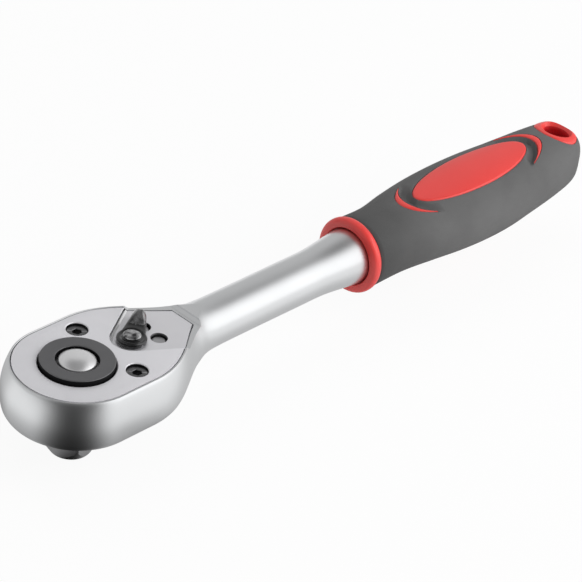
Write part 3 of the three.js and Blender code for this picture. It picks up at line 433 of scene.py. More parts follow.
def surface(
    name, colour, cloudy, roughness, grain=2600, depth=0.00003, metallic=0.0,
    worn=None, wear=(0.53, 0.62, 900), plain=None,
):
    """Material with grain, a cloudy change of colour and gloss and, where given, a rubbed edge colour,
    which on the lever's tab and rivet is partly painted highlight.

    The wear is the group's start, end and break scale. Plain values are the same all over the surface.
    """
    material = bpy.data.materials.new(name)
    material.use_nodes = True
    tree = material.node_tree
    shader = tree.nodes["Principled BSDF"]
    shader.inputs["Metallic"].default_value = metallic
    for label, value in (plain or {}).items():
        shader.inputs[label].default_value = value
    grains = add_node(tree, "Group", node_tree=grain_group)
    grains.inputs["Scale"].default_value = grain
    base = mix_colours(tree, grains.outputs["Cloud"], colour, cloudy)
    if worn:
        edges = add_node(tree, "Group", node_tree=wear_group)
        for label, value in zip(("Start", "End", "Break Scale"), wear):
            edges.inputs[label].default_value = value
        base = mix_colours(tree, edges.outputs["Mask"], base, worn)
    tree.links.new(base, shader.inputs["Base Color"])
    gloss = spread(tree, grains.outputs["Cloud"], first=roughness[0], last=roughness[1])
    tree.links.new(gloss, shader.inputs["Roughness"])
    bump = add_node(tree, "Bump", {"Height": grains.outputs["Height"], "Distance": depth, "Strength": 1.0})
    tree.links.new(bump.outputs["Normal"], shader.inputs["Normal"])
    return material


satin_chrome = surface(
    "satin chrome", (0.8, 0.81, 0.82, 1), (0.74, 0.75, 0.76, 1),
    roughness=(0.27, 0.34), grain=3500, depth=0.000012, metallic=1.0,
)

stations = np.concatenate(
    [
        np.arange(0, HEAD_STRAIGHT, 1.3),
        np.arange(HEAD_STRAIGHT, NECK_END, 0.9),
        np.linspace(NECK_END, SHANK_END, 26),
    ]
)
sections = [half_section(x) for x in stations]
nose_y, nose_z = sections[0]
sheet = []
for x, (y, z) in zip(stations[::-1], sections[::-1]):
    sheet.append(np.column_stack([np.full(len(y), x), y, z]))
for angle in np.linspace(math.pi / 2, 1.5 * math.pi, 97)[1:-1]:
    sheet.append(np.column_stack([nose_y * math.cos(angle), nose_y * math.sin(angle), nose_z]))
for x, (y, z) in zip(stations, sections):
    sheet.append(np.column_stack([np.full(len(y), x), -y, z]))
rows, deep = len(sheet), len(nose_y)
forging_faces = []
for u in range(rows - 1):
    for k in range(deep - 1):
        a = u * deep + k
        forging_faces.append((a, a + 1, a + deep + 1, a + deep))
for u in range(rows // 2):
    across = [u, u + 1, rows - 2 - u, rows - 1 - u]
    corners = [v * deep for v in dict.fromkeys(across)]
    if len(corners) > 2:
        forging_faces.append(tuple(corners))
last = (rows - 1) * deep
forging_faces.append(tuple(range(deep)) + tuple(range(last + deep - 2, last, -1)))
forging = shape_of("forging", np.concatenate(sheet), forging_faces)
tang_rows = [(TANG_RADIUS, COLLAR_X), (TANG_RADIUS, TANG_END - 1), (TANG_RADIUS - 1, TANG_END)]
combine(forging, [turned_along(tang_rows, 48)], "UNION")
pocket_radius, pocket_angle = PAWL_POCKET
fan = np.linspace(-pocket_angle, pocket_angle, 40)
pawl_pocket = np.concatenate([[(0, 0)], bow(pocket_radius, fan)])
rim = 0.12  # broken edge of the cover's pocket
pocket_levels = [(COVER_BOTTOM - FIT, 0), (HEAD_TOP - rim, 0), (HEAD_TOP, rim), (ABOVE, rim)]
forging_cuts = [
    prism(cover_outline(0), pocket_levels),
    recess_cutter(),
    round_hole(CAVITY_RADIUS, CAVITY_FLOOR, segments=96),
    turned(
        [
            (JOURNAL_RADIUS + 2 * FIT + 1, HEAD_BOTTOM - 1),
            (JOURNAL_RADIUS + 2 * FIT, HEAD_BOTTOM),
            (JOURNAL_RADIUS + FIT, HEAD_BOTTOM + FIT),
            (JOURNAL_RADIUS + FIT, ABOVE),
        ]
    ),
    prism(pawl_pocket, [(GEAR_BOTTOM, 0), (ABOVE, 0)]),
    round_hole(SHAFT_COLLAR + PLAY, GEAR_BOTTOM, place=(LEVER_X, 0)),
    round_hole(SHAFT_RADIUS + FIT, CAVITY_FLOOR - 2 * FIT, place=(LEVER_X, 0)),
    round_hole(PAWL_PIN_RADIUS + FIT, CAVITY_FLOOR - 2 * FIT, place=(PAWL_X, 0)),
]
for label in SIDES:
    forging_cuts.append(round_hole(SCREW_HOLE, SCREW_TOP - SCREW_LENGTH - FIT, place=SCREWS[label]))
    forging_cuts.append(round_hole(PIN_RADIUS + FIT, PIN_TOP - PIN_LENGTH - FIT, place=PINS[label]))
combine(forging, forging_cuts)
finish_piece(forging, "forged_body", "handle", satin_chrome)


# Drive: gear, journal, hub and square are machined from one bar of alloy steel, hardened and ground.
# It turns in the forging's bore, and a bore down its middle takes the release rod and the detent ball.
GEAR_TOP = COVER_BOTTOM - PLAY
GEAR_ROOT = 11.92
GEAR_TIP = 12.92
TEETH = 48
DRIVE_TURN = math.radians(15)  # the drive stands two teeth round from square
SQUARE = 12.7
SQUARE_END = -HANDLE_HEIGHT
JOURNAL_END = HEAD_BOTTOM - 0.5
SEAL_FLOOR = JOURNAL_RADIUS - 1.2
SEAL_MIDDLE = (HEAD_BOTTOM + CAVITY_FLOOR) / 2
SEAL_HALF = 0.75
HUB_RADIUS = 8.8
HUB_TOP = 6.4
BUTTON_FLANGE = 6.95
FLANGE_BOTTOM = HUB_TOP - 1.4
SPRING_SEAT = GEAR_BOTTOM + 0.9
SPRING_BORE = 4.05
ROD_RADIUS = 1.7
BALL_RADIUS = 2.6
BALL_PLACE = (SQUARE / 2 + 1.1 - BALL_RADIUS, SQUARE_END + 6.2)

tool_steel = surface(
    "ground tool steel", (0.55, 0.55, 0.56, 1), (0.46, 0.46, 0.47, 1),
    roughness=(0.3, 0.42), grain=5200, depth=0.00001, metallic=1.0,
)

pitch = 2 * math.pi / TEETH
gear_outline = []
for tooth in range(TEETH):
    for radius, share in ((GEAR_ROOT, -0.4), (GEAR_TIP, -0.12), (GEAR_TIP, 0.12), (GEAR_ROOT, 0.4)):
        angle = (tooth + share) * pitch
        gear_outline.append((radius * math.cos(angle), radius * math.sin(angle)))
half = SQUARE / 2
square_outline = soften([(-half, -half), (half, -half), (half, half), (-half, half)], 0.6, closed=True)
corner = half * math.sqrt(2) - 0.4
square_top = JOURNAL_END + 1
square_end = [(0, SQUARE_END), (half - 0.5, SQUARE_END), (corner, SQUARE_END + 4), (corner, square_top)]
drive_square = prism(square_outline, [(SQUARE_END, 0), (square_top, 0)])
combine(drive_square, [turned(soften(square_end, 0.5) + [(0, square_top)], 128)], "INTERSECT")
drive_rows = [
    (0, JOURNAL_END),
    (JOURNAL_RADIUS, JOURNAL_END),
    (JOURNAL_RADIUS, SEAL_MIDDLE - SEAL_HALF),
    (SEAL_FLOOR, SEAL_MIDDLE - SEAL_HALF),
    (SEAL_FLOOR, SEAL_MIDDLE + SEAL_HALF),
    (JOURNAL_RADIUS, SEAL_MIDDLE + SEAL_HALF),
    (JOURNAL_RADIUS, GEAR_BOTTOM + 1),
    (HUB_RADIUS, GEAR_BOTTOM + 1),
    (HUB_RADIUS, HUB_TOP),
    (0, HUB_TOP),
]
gear_levels = [(GEAR_BOTTOM, -EDGE), (GEAR_BOTTOM + EDGE, 0), (GEAR_TOP - EDGE, 0), (GEAR_TOP, -EDGE)]
drive = prism(gear_outline, gear_levels)
combine(drive, [turned(soften(drive_rows, 0.2, steps=2)), drive_square], "UNION")
ball_bore = [
    (BALL_RADIUS + 0.2, 0),
    (BALL_RADIUS + 0.2, half - 0.2),
    (BALL_RADIUS + 0.5, half + 0.1),
    (BALL_RADIUS + 0.5, half + 4),
]
drive_cuts = [
    round_hole(BUTTON_FLANGE + PLAY, FLANGE_BOTTOM - 4),
    round_hole(SPRING_BORE, SPRING_SEAT),
    round_hole(ROD_RADIUS + FIT, SQUARE_END + 1.7),
    turned_along(ball_bore, 48, (0, BALL_PLACE[1])),
]
combine(drive, drive_cuts)
drive_place = Matrix.Rotation(DRIVE_TURN, 4, "Z")
finish_piece(drive, "drive_gear", "drive", tool_steel, place=drive_place)

# Detent ball: a hardened steel ball caged in the side of the square, which clicks into a socket's dimple.
# Pressing the button lets it sink into the rod's waist.
spring_steel = surface(
    "polished spring steel", (0.55, 0.55, 0.56, 1), (0.48, 0.48, 0.49, 1),
    roughness=(0.16, 0.24), depth=0.000004, metallic=1.0,
)
ball_rows = []
for angle in np.linspace(-math.pi / 2, math.pi / 2, 33):
    ball_rows.append((BALL_RADIUS * math.cos(angle), BALL_PLACE[1] + BALL_RADIUS * math.sin(angle)))
detent_ball = turned(ball_rows, 48, (BALL_PLACE[0], 0))
finish_piece(detent_ball, "detent_ball", "ball", spring_steel, place=drive_place)

# Thrust washer and seal ring: a ground steel washer under the gear, and a rubber ring in the journal.
# Both are out of sight, so the frame's own solids keep their shapes.
seal_rubber = surface(
    "seal rubber", (0.012, 0.012, 0.013, 1), (0.02, 0.02, 0.021, 1),
    roughness=(0.6, 0.75), depth=0.00002,
)


def dress(node, material):
    """Gives one of the frame's own solids its finish."""
    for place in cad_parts[node].material_slots:
        place.material = material


dress("thrust_washer", tool_steel)
dress("journal_seal", seal_rubber)

# Thumb ring: a turned steel ring with a dark grey phosphate finish, pressed on the drive's hub.
# Turning it by hand turns the drive, and its web keeps the button in.
RING_RADIUS = 10.9
RING_BORE = 6.35
RING_TOP = HEAD_TOP + 1.5
WEB_BOTTOM = RING_TOP - 2.4
grey_ring = surface(
    "dark phosphate", (0.16, 0.16, 0.166, 1), (0.25, 0.25, 0.257, 1),
    roughness=(0.42, 0.54), grain=2400, depth=0.00004, metallic=0.9,
)
ring_rows = [
    (RING_RADIUS - 1.8, GEAR_TOP + FIT),
    (RING_RADIUS, GEAR_TOP + FIT),
    (RING_RADIUS, RING_TOP),
    (RING_RADIUS - 1, RING_TOP),
    (RING_BORE + 1, RING_TOP),
    (RING_BORE, RING_TOP),
    (RING_BORE, WEB_BOTTOM),
    (RING_RADIUS - 1.8, WEB_BOTTOM),
]
thumb_ring = turned(soften(ring_rows, 0.35, closed=True), 128, ring=True)
ring_skin = finish_piece(thumb_ring, "thumb_ring", "drive", grey_ring)
# Painted shade: the ring's side below its top is drawn near black, darker than its top.
ring_side_shade = surface(
    "ring side painted shade", (0.004, 0.004, 0.0045, 1), (0.007, 0.007, 0.0075, 1),
    roughness=(0.5, 0.6), grain=2400, plain={"Specular IOR Level": 0.1},
)
paint(ring_skin, ring_side_shade, lambda x, y, z, up: z < RING_TOP - 0.25)

# Release button: a domed chromed head on a flange and a rod, held up by a spring under the flange.
# The rod's waist comes level with the detent ball when the button is pressed.
BUTTON_RADIUS = 5.5
BUTTON_RIM = HEAD_TOP + 1.3
BUTTON_DOME = 1.5
ROD_END = SQUARE_END + 5
WAIST = BALL_PLACE[1] + 3
WAIST_CURVE = [(0.8, 1.05), (1.5, 1.4), (1.95, ROD_RADIUS)]
button_rows = [(0, ROD_END), (ROD_RADIUS - 0.3, ROD_END), (ROD_RADIUS, ROD_END + 0.3)]
button_rows += [(radius, WAIST - away) for away, radius in WAIST_CURVE[::-1]]
button_rows += [(radius, WAIST + away) for away, radius in WAIST_CURVE]
button_rows += [
    (ROD_RADIUS, FLANGE_BOTTOM),
    (BUTTON_FLANGE, FLANGE_BOTTOM),
    (BUTTON_FLANGE, HUB_TOP),
    (BUTTON_RADIUS, HUB_TOP),
    (BUTTON_RADIUS, BUTTON_RIM - 0.45),
    (BUTTON_RADIUS - 0.1, BUTTON_RIM - 0.2),
    (BUTTON_RADIUS - 0.3, BUTTON_RIM),
]
for out in np.linspace(0.94, 0, 20):
    button_rows.append(((BUTTON_RADIUS - 0.3) * out, BUTTON_RIM + BUTTON_DOME * (1 - out**2.7)))
release_button = turned(button_rows, 96)
satin_button = surface(
    "satin button", (0.88, 0.88, 0.89, 1), (0.82, 0.82, 0.83, 1),
    roughness=(0.28, 0.36), grain=3500, depth=0.00001, metallic=0.8,
)
finish_piece(release_button, "release_button", "button", satin_button)

# Button spring: bright spring wire wound into a coil, seated in the drive's bore under the button's flange.
# It shortens by the button's travel as the button goes down.
COIL_RADIUS = 3.2
COIL_TURNS = 6
WIRE_RADIUS = 0.45
COIL_BOTTOM = SPRING_SEAT + FIT
COIL_TOP = FLANGE_BOTTOM - FIT
coil_angle = np.linspace(0, 2 * math.pi * COIL_TURNS, 32 * COIL_TURNS + 1)
coil_height = np.linspace(COIL_BOTTOM + WIRE_RADIUS, COIL_TOP - WIRE_RADIUS, len(coil_angle))
wire = circle(WIRE_RADIUS, 12, COIL_RADIUS)
coil_rings = []
for angle, height in zip(coil_angle, coil_height):
    flat = wire[:, :1] * (math.cos(angle), math.sin(angle))
    coil_rings.append(at_height(flat, height + wire[:, 1]))
button_spring = finish_piece(skin(coil_rings), "button_spring", "drive", spring_steel)
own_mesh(button_spring)

# Pawl, its pin, and the plunger with its spring: hardened steel, all inside the head.
# The plunger in the lever's shaft pushes one of the pawl's two toothed wings into the gear.
for node in ("pawl", "pawl_pin", "pawl_plunger"):
    dress(node, tool_steel)
dress("plunger_spring", spring_steel)

# Cover plate: sheet steel, blasted to a fine even grey, dropped into the head's pocket.
# A fan-shaped recess milled into it gives the lever room, and two sunk screws hold it down.
OPENING_RADIUS = RING_RADIUS + PLAY
SCREW_SEAT = 3.25
SEAT_BOTTOM = SCREW_TOP - 1.4
GROOVE = 0.4  # left by the cutter at the foot of the recess's wall
cover_steel = surface(
    "blasted cover steel", (0.87, 0.865, 0.895, 1), (0.79, 0.785, 0.815, 1),
    roughness=(0.45, 0.55), grain=4200, metallic=0.5,
)


def flared_hole(radius, top, place=(0, 0), bottom=HEAD_BOTTOM):
    """Round cutter that breaks the edge where it comes out at a top."""
    wide = radius + EDGE
    return turned([(radius, bottom), (radius, top - EDGE), (wide, top), (wide, ABOVE)], 96, place)


cover_levels = [(COVER_BOTTOM, 0), (HEAD_TOP - 0.15, 0), (HEAD_TOP - 0.04, -0.04), (HEAD_TOP, -0.15)]
cover = prism(cover_outline(FIT), cover_levels)
groove_outline = recess_outline(beyond=3)
groove = prism(groove_outline, [(RECESS_FLOOR + 0.1, 0), (RECESS_RIM + FIT, 0)])
combine(groove, [prism(groove_outline, [(RECESS_FLOOR - 1, -GROOVE), (HEAD_TOP, -GROOVE)])])
cover_cuts = [
    recess_cutter(),
    groove,
    flared_hole(OPENING_RADIUS, HEAD_TOP),
    flared_hole(SHAFT_RADIUS + FIT, RECESS_FLOOR, (LEVER_X, 0)),
]
seat_rows = [
    (SCREW_HOLE, HEAD_BOTTOM),
    (SCREW_HOLE, SEAT_BOTTOM),
    (SCREW_SEAT, SEAT_BOTTOM + SCREW_SEAT - SCREW_HOLE),
    (SCREW_SEAT, HEAD_TOP - EDGE),
    (SCREW_SEAT + EDGE, HEAD_TOP),
    (SCREW_SEAT + EDGE, ABOVE),
]
for label in SIDES:
    cover_cuts.append(turned(seat_rows, 64, SCREWS[label]))
    cover_cuts.append(flared_hole(PIN_RADIUS + FIT, RECESS_FLOOR, PINS[label]))
combine(cover, cover_cuts)
cover_skin = finish_piece(cover, "cover_plate", "handle", cover_steel)
darker_floor_steel = surface(
    "darker recess floor", (0.77, 0.765, 0.79, 1), (0.7, 0.695, 0.72, 1),
    roughness=(0.4, 0.5), grain=5200, depth=0.00002, metallic=0.5,
)
# Painted shade: the walls of the recess and its groove, the screws' seats and the pins' holes are drawn
# dark.
cut_wall_shade = surface(
    "cut wall painted shade", (0.16, 0.16, 0.165, 1), (0.1, 0.1, 0.103, 1),
    roughness=(0.4, 0.5), grain=5200, depth=0.00002, metallic=1.0,
)


def cut_gap(x, y):
    """Distance in plan from the nearest wall of the recess, the screws' seats and the pins' holes."""
    ahead, side = x - LEVER_X, abs(y)
    c, s = math.cos(RECESS_ANGLE), math.sin(RECESS_ANGLE)
    wall = side * c - ahead * s if ahead * c + side * s > 0 else math.hypot(ahead, side)
    seat = math.hypot(x - SCREW_PLACE[0], side - SCREW_PLACE[1])
    hole = math.hypot(x - PIN_PLACE[0], side - PIN_PLACE[1])
    return min(abs(wall - RECESS_RADIUS), seat - SCREW_SEAT, hole - PIN_RADIUS - FIT)


paint(cover_skin, satin_button, lambda x, y, z, up: RECESS_FLOOR < z < RECESS_RIM and 0.4 < up < 0.95)
paint(cover_skin, cut_wall_shade, lambda x, y, z, up: z < HEAD_TOP - EDGE and cut_gap(x, y) < GROOVE)
# The recess floor is drawn a little darker than the cover's top.
paint(cover_skin, darker_floor_steel, lambda x, y, z, up: abs(z - RECESS_FLOOR) < 0.01)

# Cover screws and locating pins: blackened socket screws in conical seats, and plain ground pins.
# The screws hold the cover, and the pins keep its tail in place.
SCREW_RADIUS = 1.9
SCREW_HEAD = 2.95
SOCKET_RADIUS = 1.45
SOCKET_DEPTH = 1.4
OILED = {"Coat Weight": 0.8, "Coat Roughness": 0.14}
black_steel = surface(
    "black oxide steel", (0.02, 0.02, 0.021, 1), (0.06, 0.06, 0.062, 1),
    roughness=(0.2, 0.34), metallic=0.9, worn=(0.34, 0.34, 0.35, 1), plain=OILED,
)
screw_steel = surface(
    "worn black screw", (0.1, 0.1, 0.103, 1), (0.2, 0.2, 0.205, 1),
    roughness=(0.2, 0.34), metallic=1.0, worn=(0.4, 0.4, 0.41, 1),
)
screw_rows = [
    (0, SCREW_TOP - SCREW_LENGTH),
    (SCREW_RADIUS, SCREW_TOP - SCREW_LENGTH),
    (SCREW_RADIUS, SCREW_TOP - 1.1),
    (SCREW_HEAD, SCREW_TOP - 0.05),
    (SCREW_HEAD, SCREW_TOP),
    (0, SCREW_TOP),
]
pin_rows = [
    (0, PIN_TOP - PIN_LENGTH),
    (PIN_RADIUS, PIN_TOP - PIN_LENGTH),
    (PIN_RADIUS, PIN_TOP),
    (0, PIN_TOP),
]
socket_levels = [(SCREW_TOP - SOCKET_DEPTH, 0), (SCREW_TOP - 0.2, 0), (SCREW_TOP + 0.2, 0.3)]
for label in SIDES:
    socket = prism(circle(SOCKET_RADIUS, 6, *SCREWS[label]), socket_levels)
    screw = combine(turned(soften(screw_rows, 0.3), 64, SCREWS[label]), [socket])
    finish_piece(screw, f"cover_screw_{label}", "handle", screw_steel)
    pin = turned(soften(pin_rows, 0.3), 48, PINS[label])
    finish_piece(pin, f"locating_pin_{label}", "handle", tool_steel)

# Reversing lever: cast steel with a black oxide finish. The thumb tab's upward faces get bright rubbed
# patches, partly wear and partly painted highlight.
# A round base sits in the cover's recess, and the arm rises to the tab at its tip.
LEVER_ANGLE = math.radians(35)
LEVER_RADIUS = 4.5
LEVER_LENGTH = 11.8
LEVER_TIP = 2.3
LEVER_BOTTOM = RECESS_FLOOR + FIT
LEVER_TOP = LEVER_BOTTOM + 1.8
TAB_TOP = LEVER_TOP + 2.1
TENON_RADIUS = 2
LEVER_ROUND = 0.7
lever_place = Matrix.Translation((LEVER_X, 0, 0)) @ Matrix.Rotation(LEVER_ANGLE, 4, "Z")
LEVER_SIDE = [
    (-LEVER_RADIUS, LEVER_TOP),
    (2.5, LEVER_TOP),
    (4.6, LEVER_TOP + 0.1),
    (6.3, LEVER_TOP + 0.5),
    (7.8, LEVER_TOP + 1.1),
    (9, LEVER_TOP + 1.65),
    (10, TAB_TOP - 0.1),
    (10.7, TAB_TOP),
    (LEVER_LENGTH, TAB_TOP - 0.7),
]


def lever_height(x, y):
    """Top of the lever: flat round the rivet, then a ridge that rises to the thumb tab."""
    ridge = along(LEVER_SIDE, x, 1)
    side = np.maximum(np.abs(y) - 0.5, 0)
    slope = TAB_TOP + 0.5 - 1.15 * side
    shoulder = LEVER_TOP + 0.15 - 0.12 * side
    roof = -blend(-slope, -shoulder, 0.8)
    around = np.hypot(x, y) - SHAFT_RADIUS - 0.35
    dish = 0.3 * np.exp(-((around / 0.45) ** 2))
    return blend(ridge, roof, 0.6) - dish


base_arc = bow(LEVER_RADIUS, np.linspace(0.3 * math.pi, 1.7 * math.pi, 72))
tip_angles = np.linspace(-0.5 * math.pi, 0.5 * math.pi, 33)
tip_arc = bow(LEVER_TIP, tip_angles, LEVER_LENGTH - LEVER_TIP)
near_edge = np.linspace(base_arc[-1], tip_arc[0], 24)[1:-1]
far_edge = np.linspace(tip_arc[-1], base_arc[0], 24)[1:-1]
lever_plan = np.concatenate([base_arc, near_edge, tip_arc, far_edge])
toward = np.roll(lever_plan, -1, 0) - np.roll(lever_plan, 1, 0)
toward /= np.linalg.norm(toward, axis=1)[:, None]
inward = np.column_stack([-toward[:, 1], toward[:, 0]])
lever_rings = []
for inset, height in ((0.2, LEVER_BOTTOM), (0, LEVER_BOTTOM + 0.2)):
    lever_rings.append(at_height(lever_plan + inset * inward, height))
for inset in (0, 0.05, 0.16, 0.32, 0.5, LEVER_ROUND):
    flat = lever_plan + inset * inward
    drop = LEVER_ROUND - math.sqrt(LEVER_ROUND**2 - (LEVER_ROUND - inset) ** 2)
    lever_rings.append(at_height(flat, lever_height(*flat.T) - drop))
for share in np.linspace(1, 0.02, 40)[1:]:
    flat = share * (lever_plan + LEVER_ROUND * inward)
    lever_rings.append(at_height(flat, lever_height(*flat.T)))
lever = combine(skin(lever_rings), [round_hole(TENON_RADIUS + FIT, HEAD_BOTTOM)])
lever_skin = finish_piece(lever, "reversing_lever", "lever", black_steel, place=lever_place)
WEAR_AND_HIGHLIGHT_ALL_OVER = (0.3, 0.45, 420)
tab_wear_and_highlight = surface(
    "thumb tab wear and painted highlight", (0.04, 0.04, 0.041, 1), (0.1, 0.1, 0.103, 1),
    roughness=(0.2, 0.34), metallic=0.9, worn=(0.4, 0.4, 0.405, 1), wear=WEAR_AND_HIGHLIGHT_ALL_OVER, plain=OILED,
)
# The tab's upward faces get bright patches: partly wear, partly painted highlight.
paint(lever_skin, tab_wear_and_highlight, lambda x, y, z, up: up > 0.3 and z > LEVER_TOP + 0.3)

# Lever shaft: a blackened steel shaft whose tenon passes through the lever and is riveted over in a dome.
# Its collar turns under the cover, and a cross bore takes the pawl's spring plunger.
RIVET_BOTTOM = LEVER_TOP + 0.1
RIVET_HEIGHT = 0.8
PLUNGER_BORE = 1.5
PLUNGER_HEIGHT = -0.6
shaft_rows = [
    (0, CAVITY_FLOOR - FIT),
    (SHAFT_RADIUS, CAVITY_FLOOR - FIT),
    (SHAFT_RADIUS, COVER_BOTTOM - PLAY - 1.2),
    (SHAFT_COLLAR, COVER_BOTTOM - PLAY - 1.2),
    (SHAFT_COLLAR, COVER_BOTTOM - PLAY),
    (SHAFT_RADIUS, COVER_BOTTOM - PLAY),
    (SHAFT_RADIUS, LEVER_BOTTOM - FIT / 2),
    (TENON_RADIUS, LEVER_BOTTOM - FIT / 2),
    (TENON_RADIUS, RIVET_BOTTOM),
    (SHAFT_RADIUS - 0.05, RIVET_BOTTOM),
]
for angle in np.linspace(0.12, math.pi / 2, 14):
    shaft_rows.append((SHAFT_RADIUS * math.cos(angle), RIVET_BOTTOM + RIVET_HEIGHT * math.sin(angle)))
plunger_bore = [(PLUNGER_BORE, -SHAFT_RADIUS - 1), (PLUNGER_BORE, SHAFT_RADIUS - 0.6)]
shaft = combine(turned(shaft_rows, 64), [turned_along(plunger_bore, 32, (0, PLUNGER_HEIGHT))])
# The dome gets bright patches nearly all over: partly wear, partly painted highlight.
rivet_wear_and_highlight = surface(
    "rivet wear and painted highlight", (0.03, 0.03, 0.031, 1), (0.08, 0.08, 0.082, 1),
    roughness=(0.16, 0.28), depth=0.00002, metallic=1.0, worn=(0.7, 0.7, 0.71, 1), wear=WEAR_AND_HIGHLIGHT_ALL_OVER,
)
finish_piece(shaft, "lever_shaft", "lever", rivet_wear_and_highlight, place=lever_place)

# Red moulding: hard plastic moulded over the tang, with the collar at its front and the hanging eyelet
# at its end. An oval and two crescents come up through the grey sleeve on the grip's upper and lower face.
COLLAR_RADIUS = 12.3
COLLAR_LENGTH = 3.4
MOUTH_DEPTH = 1.6
SLEEVE_WALL = 2.6
# Distance from the collar's front, half width, half height and rise of the section's middle, and
# its squareness, where 2 is an ellipse
GRIP = [
    (3.4, 11.45, 11.4, 0, 2.2),
    (16.4, 12.5, 10, 0.1, 2.2),
    (28.4, 14.85, 9.7, 0.4, 2.2),
    (40.4, 16.05, 10.7, 0.5, 2.2),
    (52.4, 16.2, 11.65, 0.5, 2.2),
    (64.4, 15.7, 11.95, 0.55, 2.2),
    (76.4, 14.4, 11.65, 0.85, 2.2),
    (88.4, 12.8, 11.1, 1.3, 2.35),
    (94.4, 11.6, 10.6, 1.55, 2.6),
    (99.4, 10.5, 10, 1.8, 2.9),
    (103.4, 9.2, 9.45, 2.05, 3.1),
    (105, 8.1, 8.8, 2.1, 3),
    (106.4, 6.4, 7.6, 2.1, 2.8),
    (107.5, 4.4, 5.8, 2, 2.6),
    (108.4, 1.6, 2.3, 1.8, 2.4),
]
GRIP_LENGTH = 108.4
CORE_END = GRIP_LENGTH - 3.4
OVAL_PROUD = 0.05
CRESCENT_PROUD = 0.2
EYELET_PROUD = 0.2
INLAY_ROOT = SLEEVE_WALL + 1
OVAL_MIDDLE = 56.6
OVAL = (26.2, 8.35)
CRESCENTS = [
    {"way": -1, "outer": 33.1, "inner": 30.4, "tip": 24.8, "side": 8.4},
    {"way": 1, "outer": 33.4, "inner": 30.6, "tip": 22, "side": 8.7},
]
EYELET_MIDDLE = 100.2
EYELET = (6.4, 7.8)
HOLE_MIDDLE = EYELET_MIDDLE + 0.8
HOLE = (3, 4.4)
HOLE_FLARE = (1.8, 1.6)
HOLE_FLARE_DEPTH = 2.4
FACES = {"upper": 1, "lower": -1}


def grip_section(x, inset, count):
    """Ring of the grip's skin at a distance from the collar's front, taken in by the inset."""
    wide, high, rise, squareness = (along(GRIP, x, column) for column in (1, 2, 3, 4))
    angle = full_turn(count)
    c, s = np.cos(angle), np.sin(angle)
    power = 2 / squareness
    y = (wide - inset) * np.sign(c) * np.abs(c) ** power
    z = rise + (high - inset) * np.sign(s) * np.abs(s) ** power
    return at_station(COLLAR_X + x, np.column_stack([y, z]))


def grip_height(x, y, inset, face):
    """Height of the grip's skin over a place in plan, on its upper or lower face."""
    wide, high, rise, squareness = (along(GRIP, x, column) for column in (1, 2, 3, 4))
    share = np.clip(np.abs(y) / (wide - inset), 0, 1)
    return rise + face * (high - inset) * (1 - share**squareness) ** (1 / squareness)


def edge_drop(distance, size):
    """How far a rounded edge lies below the face at a distance from the outline."""
    inside = np.clip(size - distance, 0, size)
    return size - np.sqrt(size * size - inside * inside)


def oval_inlay(middle, axes, face, proud, round_over):
    """Oval of red plastic that follows the grip's skin, with a rounded edge."""
    angle = full_turn(144)
    rings = []
    steps = [(0, 1, True)]
    steps += [(inset, 1, False) for inset in round_over * np.array([0, 0.08, 0.25, 0.55, 1])]
    steps += [(round_over, share, False) for share in np.linspace(1, 0.02, 24)[1:]]
    for inset, share, root in steps:
        x = middle + share * (axes[0] - inset) * np.cos(angle)
        y = share * (axes[1] - inset) * np.sin(angle)
        drop = edge_drop(inset, round_over)
        z = grip_height(x, y, INLAY_ROOT if root else -proud, face) - face * (0 if root else drop)
        rings.append(np.column_stack([COLLAR_X + x, y, z]))
    return skin(rings)


def crescent_edges(crescent, y):
    """Inner and outer edge of a crescent at the sides y, from the oval's middle."""
    edges = []
    for edge in (crescent["inner"], crescent["outer"]):
        width = crescent["side"] / math.sqrt(1 - (crescent["tip"] / edge) ** 2)
        edges.append(edge * np.sqrt(1 - (y / width) ** 2))
    return edges


def crescent_inlay(crescent, face, round_over=0.8):
    """Crescent of red plastic that follows the grip's skin and runs out at its two tips."""
    rings = []
    for angle in np.linspace(-0.5 * math.pi, 0.5 * math.pi, 61)[1:-1]:
        y = crescent["side"] * math.sin(angle)
        inner, outer = crescent_edges(crescent, y)
        width = outer - inner
        size = min(round_over, width / 2)
        across = np.concatenate([[0, 0.1 * size, 0.35 * size, size], [width / 2]])
        across = np.concatenate([across, width - across[-2::-1]])
        x = OVAL_MIDDLE + crescent["way"] * (inner + across)
        drop = edge_drop(np.minimum(across, width - across), size)
        z = grip_height(x, y, -CRESCENT_PROUD, face) - face * drop
        ring = np.column_stack([COLLAR_X + x, np.full(len(x), y), z])
        root = ring[[-1, 0]].copy()
        root[:, 2] = grip_height(root[:, 0] - COLLAR_X, y, INLAY_ROOT, face)
        rings.append(np.concatenate([ring, root]))
    return skin(rings)


red_plastic = surface(
    "red moulding", display(236, 60, 54), display(226, 52, 47),
    roughness=(0.34, 0.44), plain={"Specular IOR Level": 0.9},
)
collar_rows = [
    (0, COLLAR_X),
    (COLLAR_RADIUS - 1.4, COLLAR_X),
    (COLLAR_RADIUS - 0.4, COLLAR_X + 0.4),
    (COLLAR_RADIUS, COLLAR_X + 1.2),
    (COLLAR_RADIUS, COLLAR_X + 2.2),
    (COLLAR_RADIUS - 0.3, COLLAR_X + 2.9),
    (COLLAR_RADIUS - 0.9, COLLAR_X + COLLAR_LENGTH),
    (0, COLLAR_X + COLLAR_LENGTH),
]
barrel_stops = np.linspace(COLLAR_LENGTH - 1, CORE_END, 90)
core = skin([grip_section(x, SLEEVE_WALL, 96) for x in barrel_stops])
core_adds = [turned_along(soften(collar_rows, 0.4))]
for face in FACES.values():
    core_adds.append(oval_inlay(OVAL_MIDDLE, OVAL, face, OVAL_PROUD, 0.6))
    core_adds.append(oval_inlay(EYELET_MIDDLE, EYELET, face, EYELET_PROUD, 0.6))
    core_adds.extend(crescent_inlay(crescent, face) for crescent in CRESCENTS)
combine(core, core_adds, "UNION")
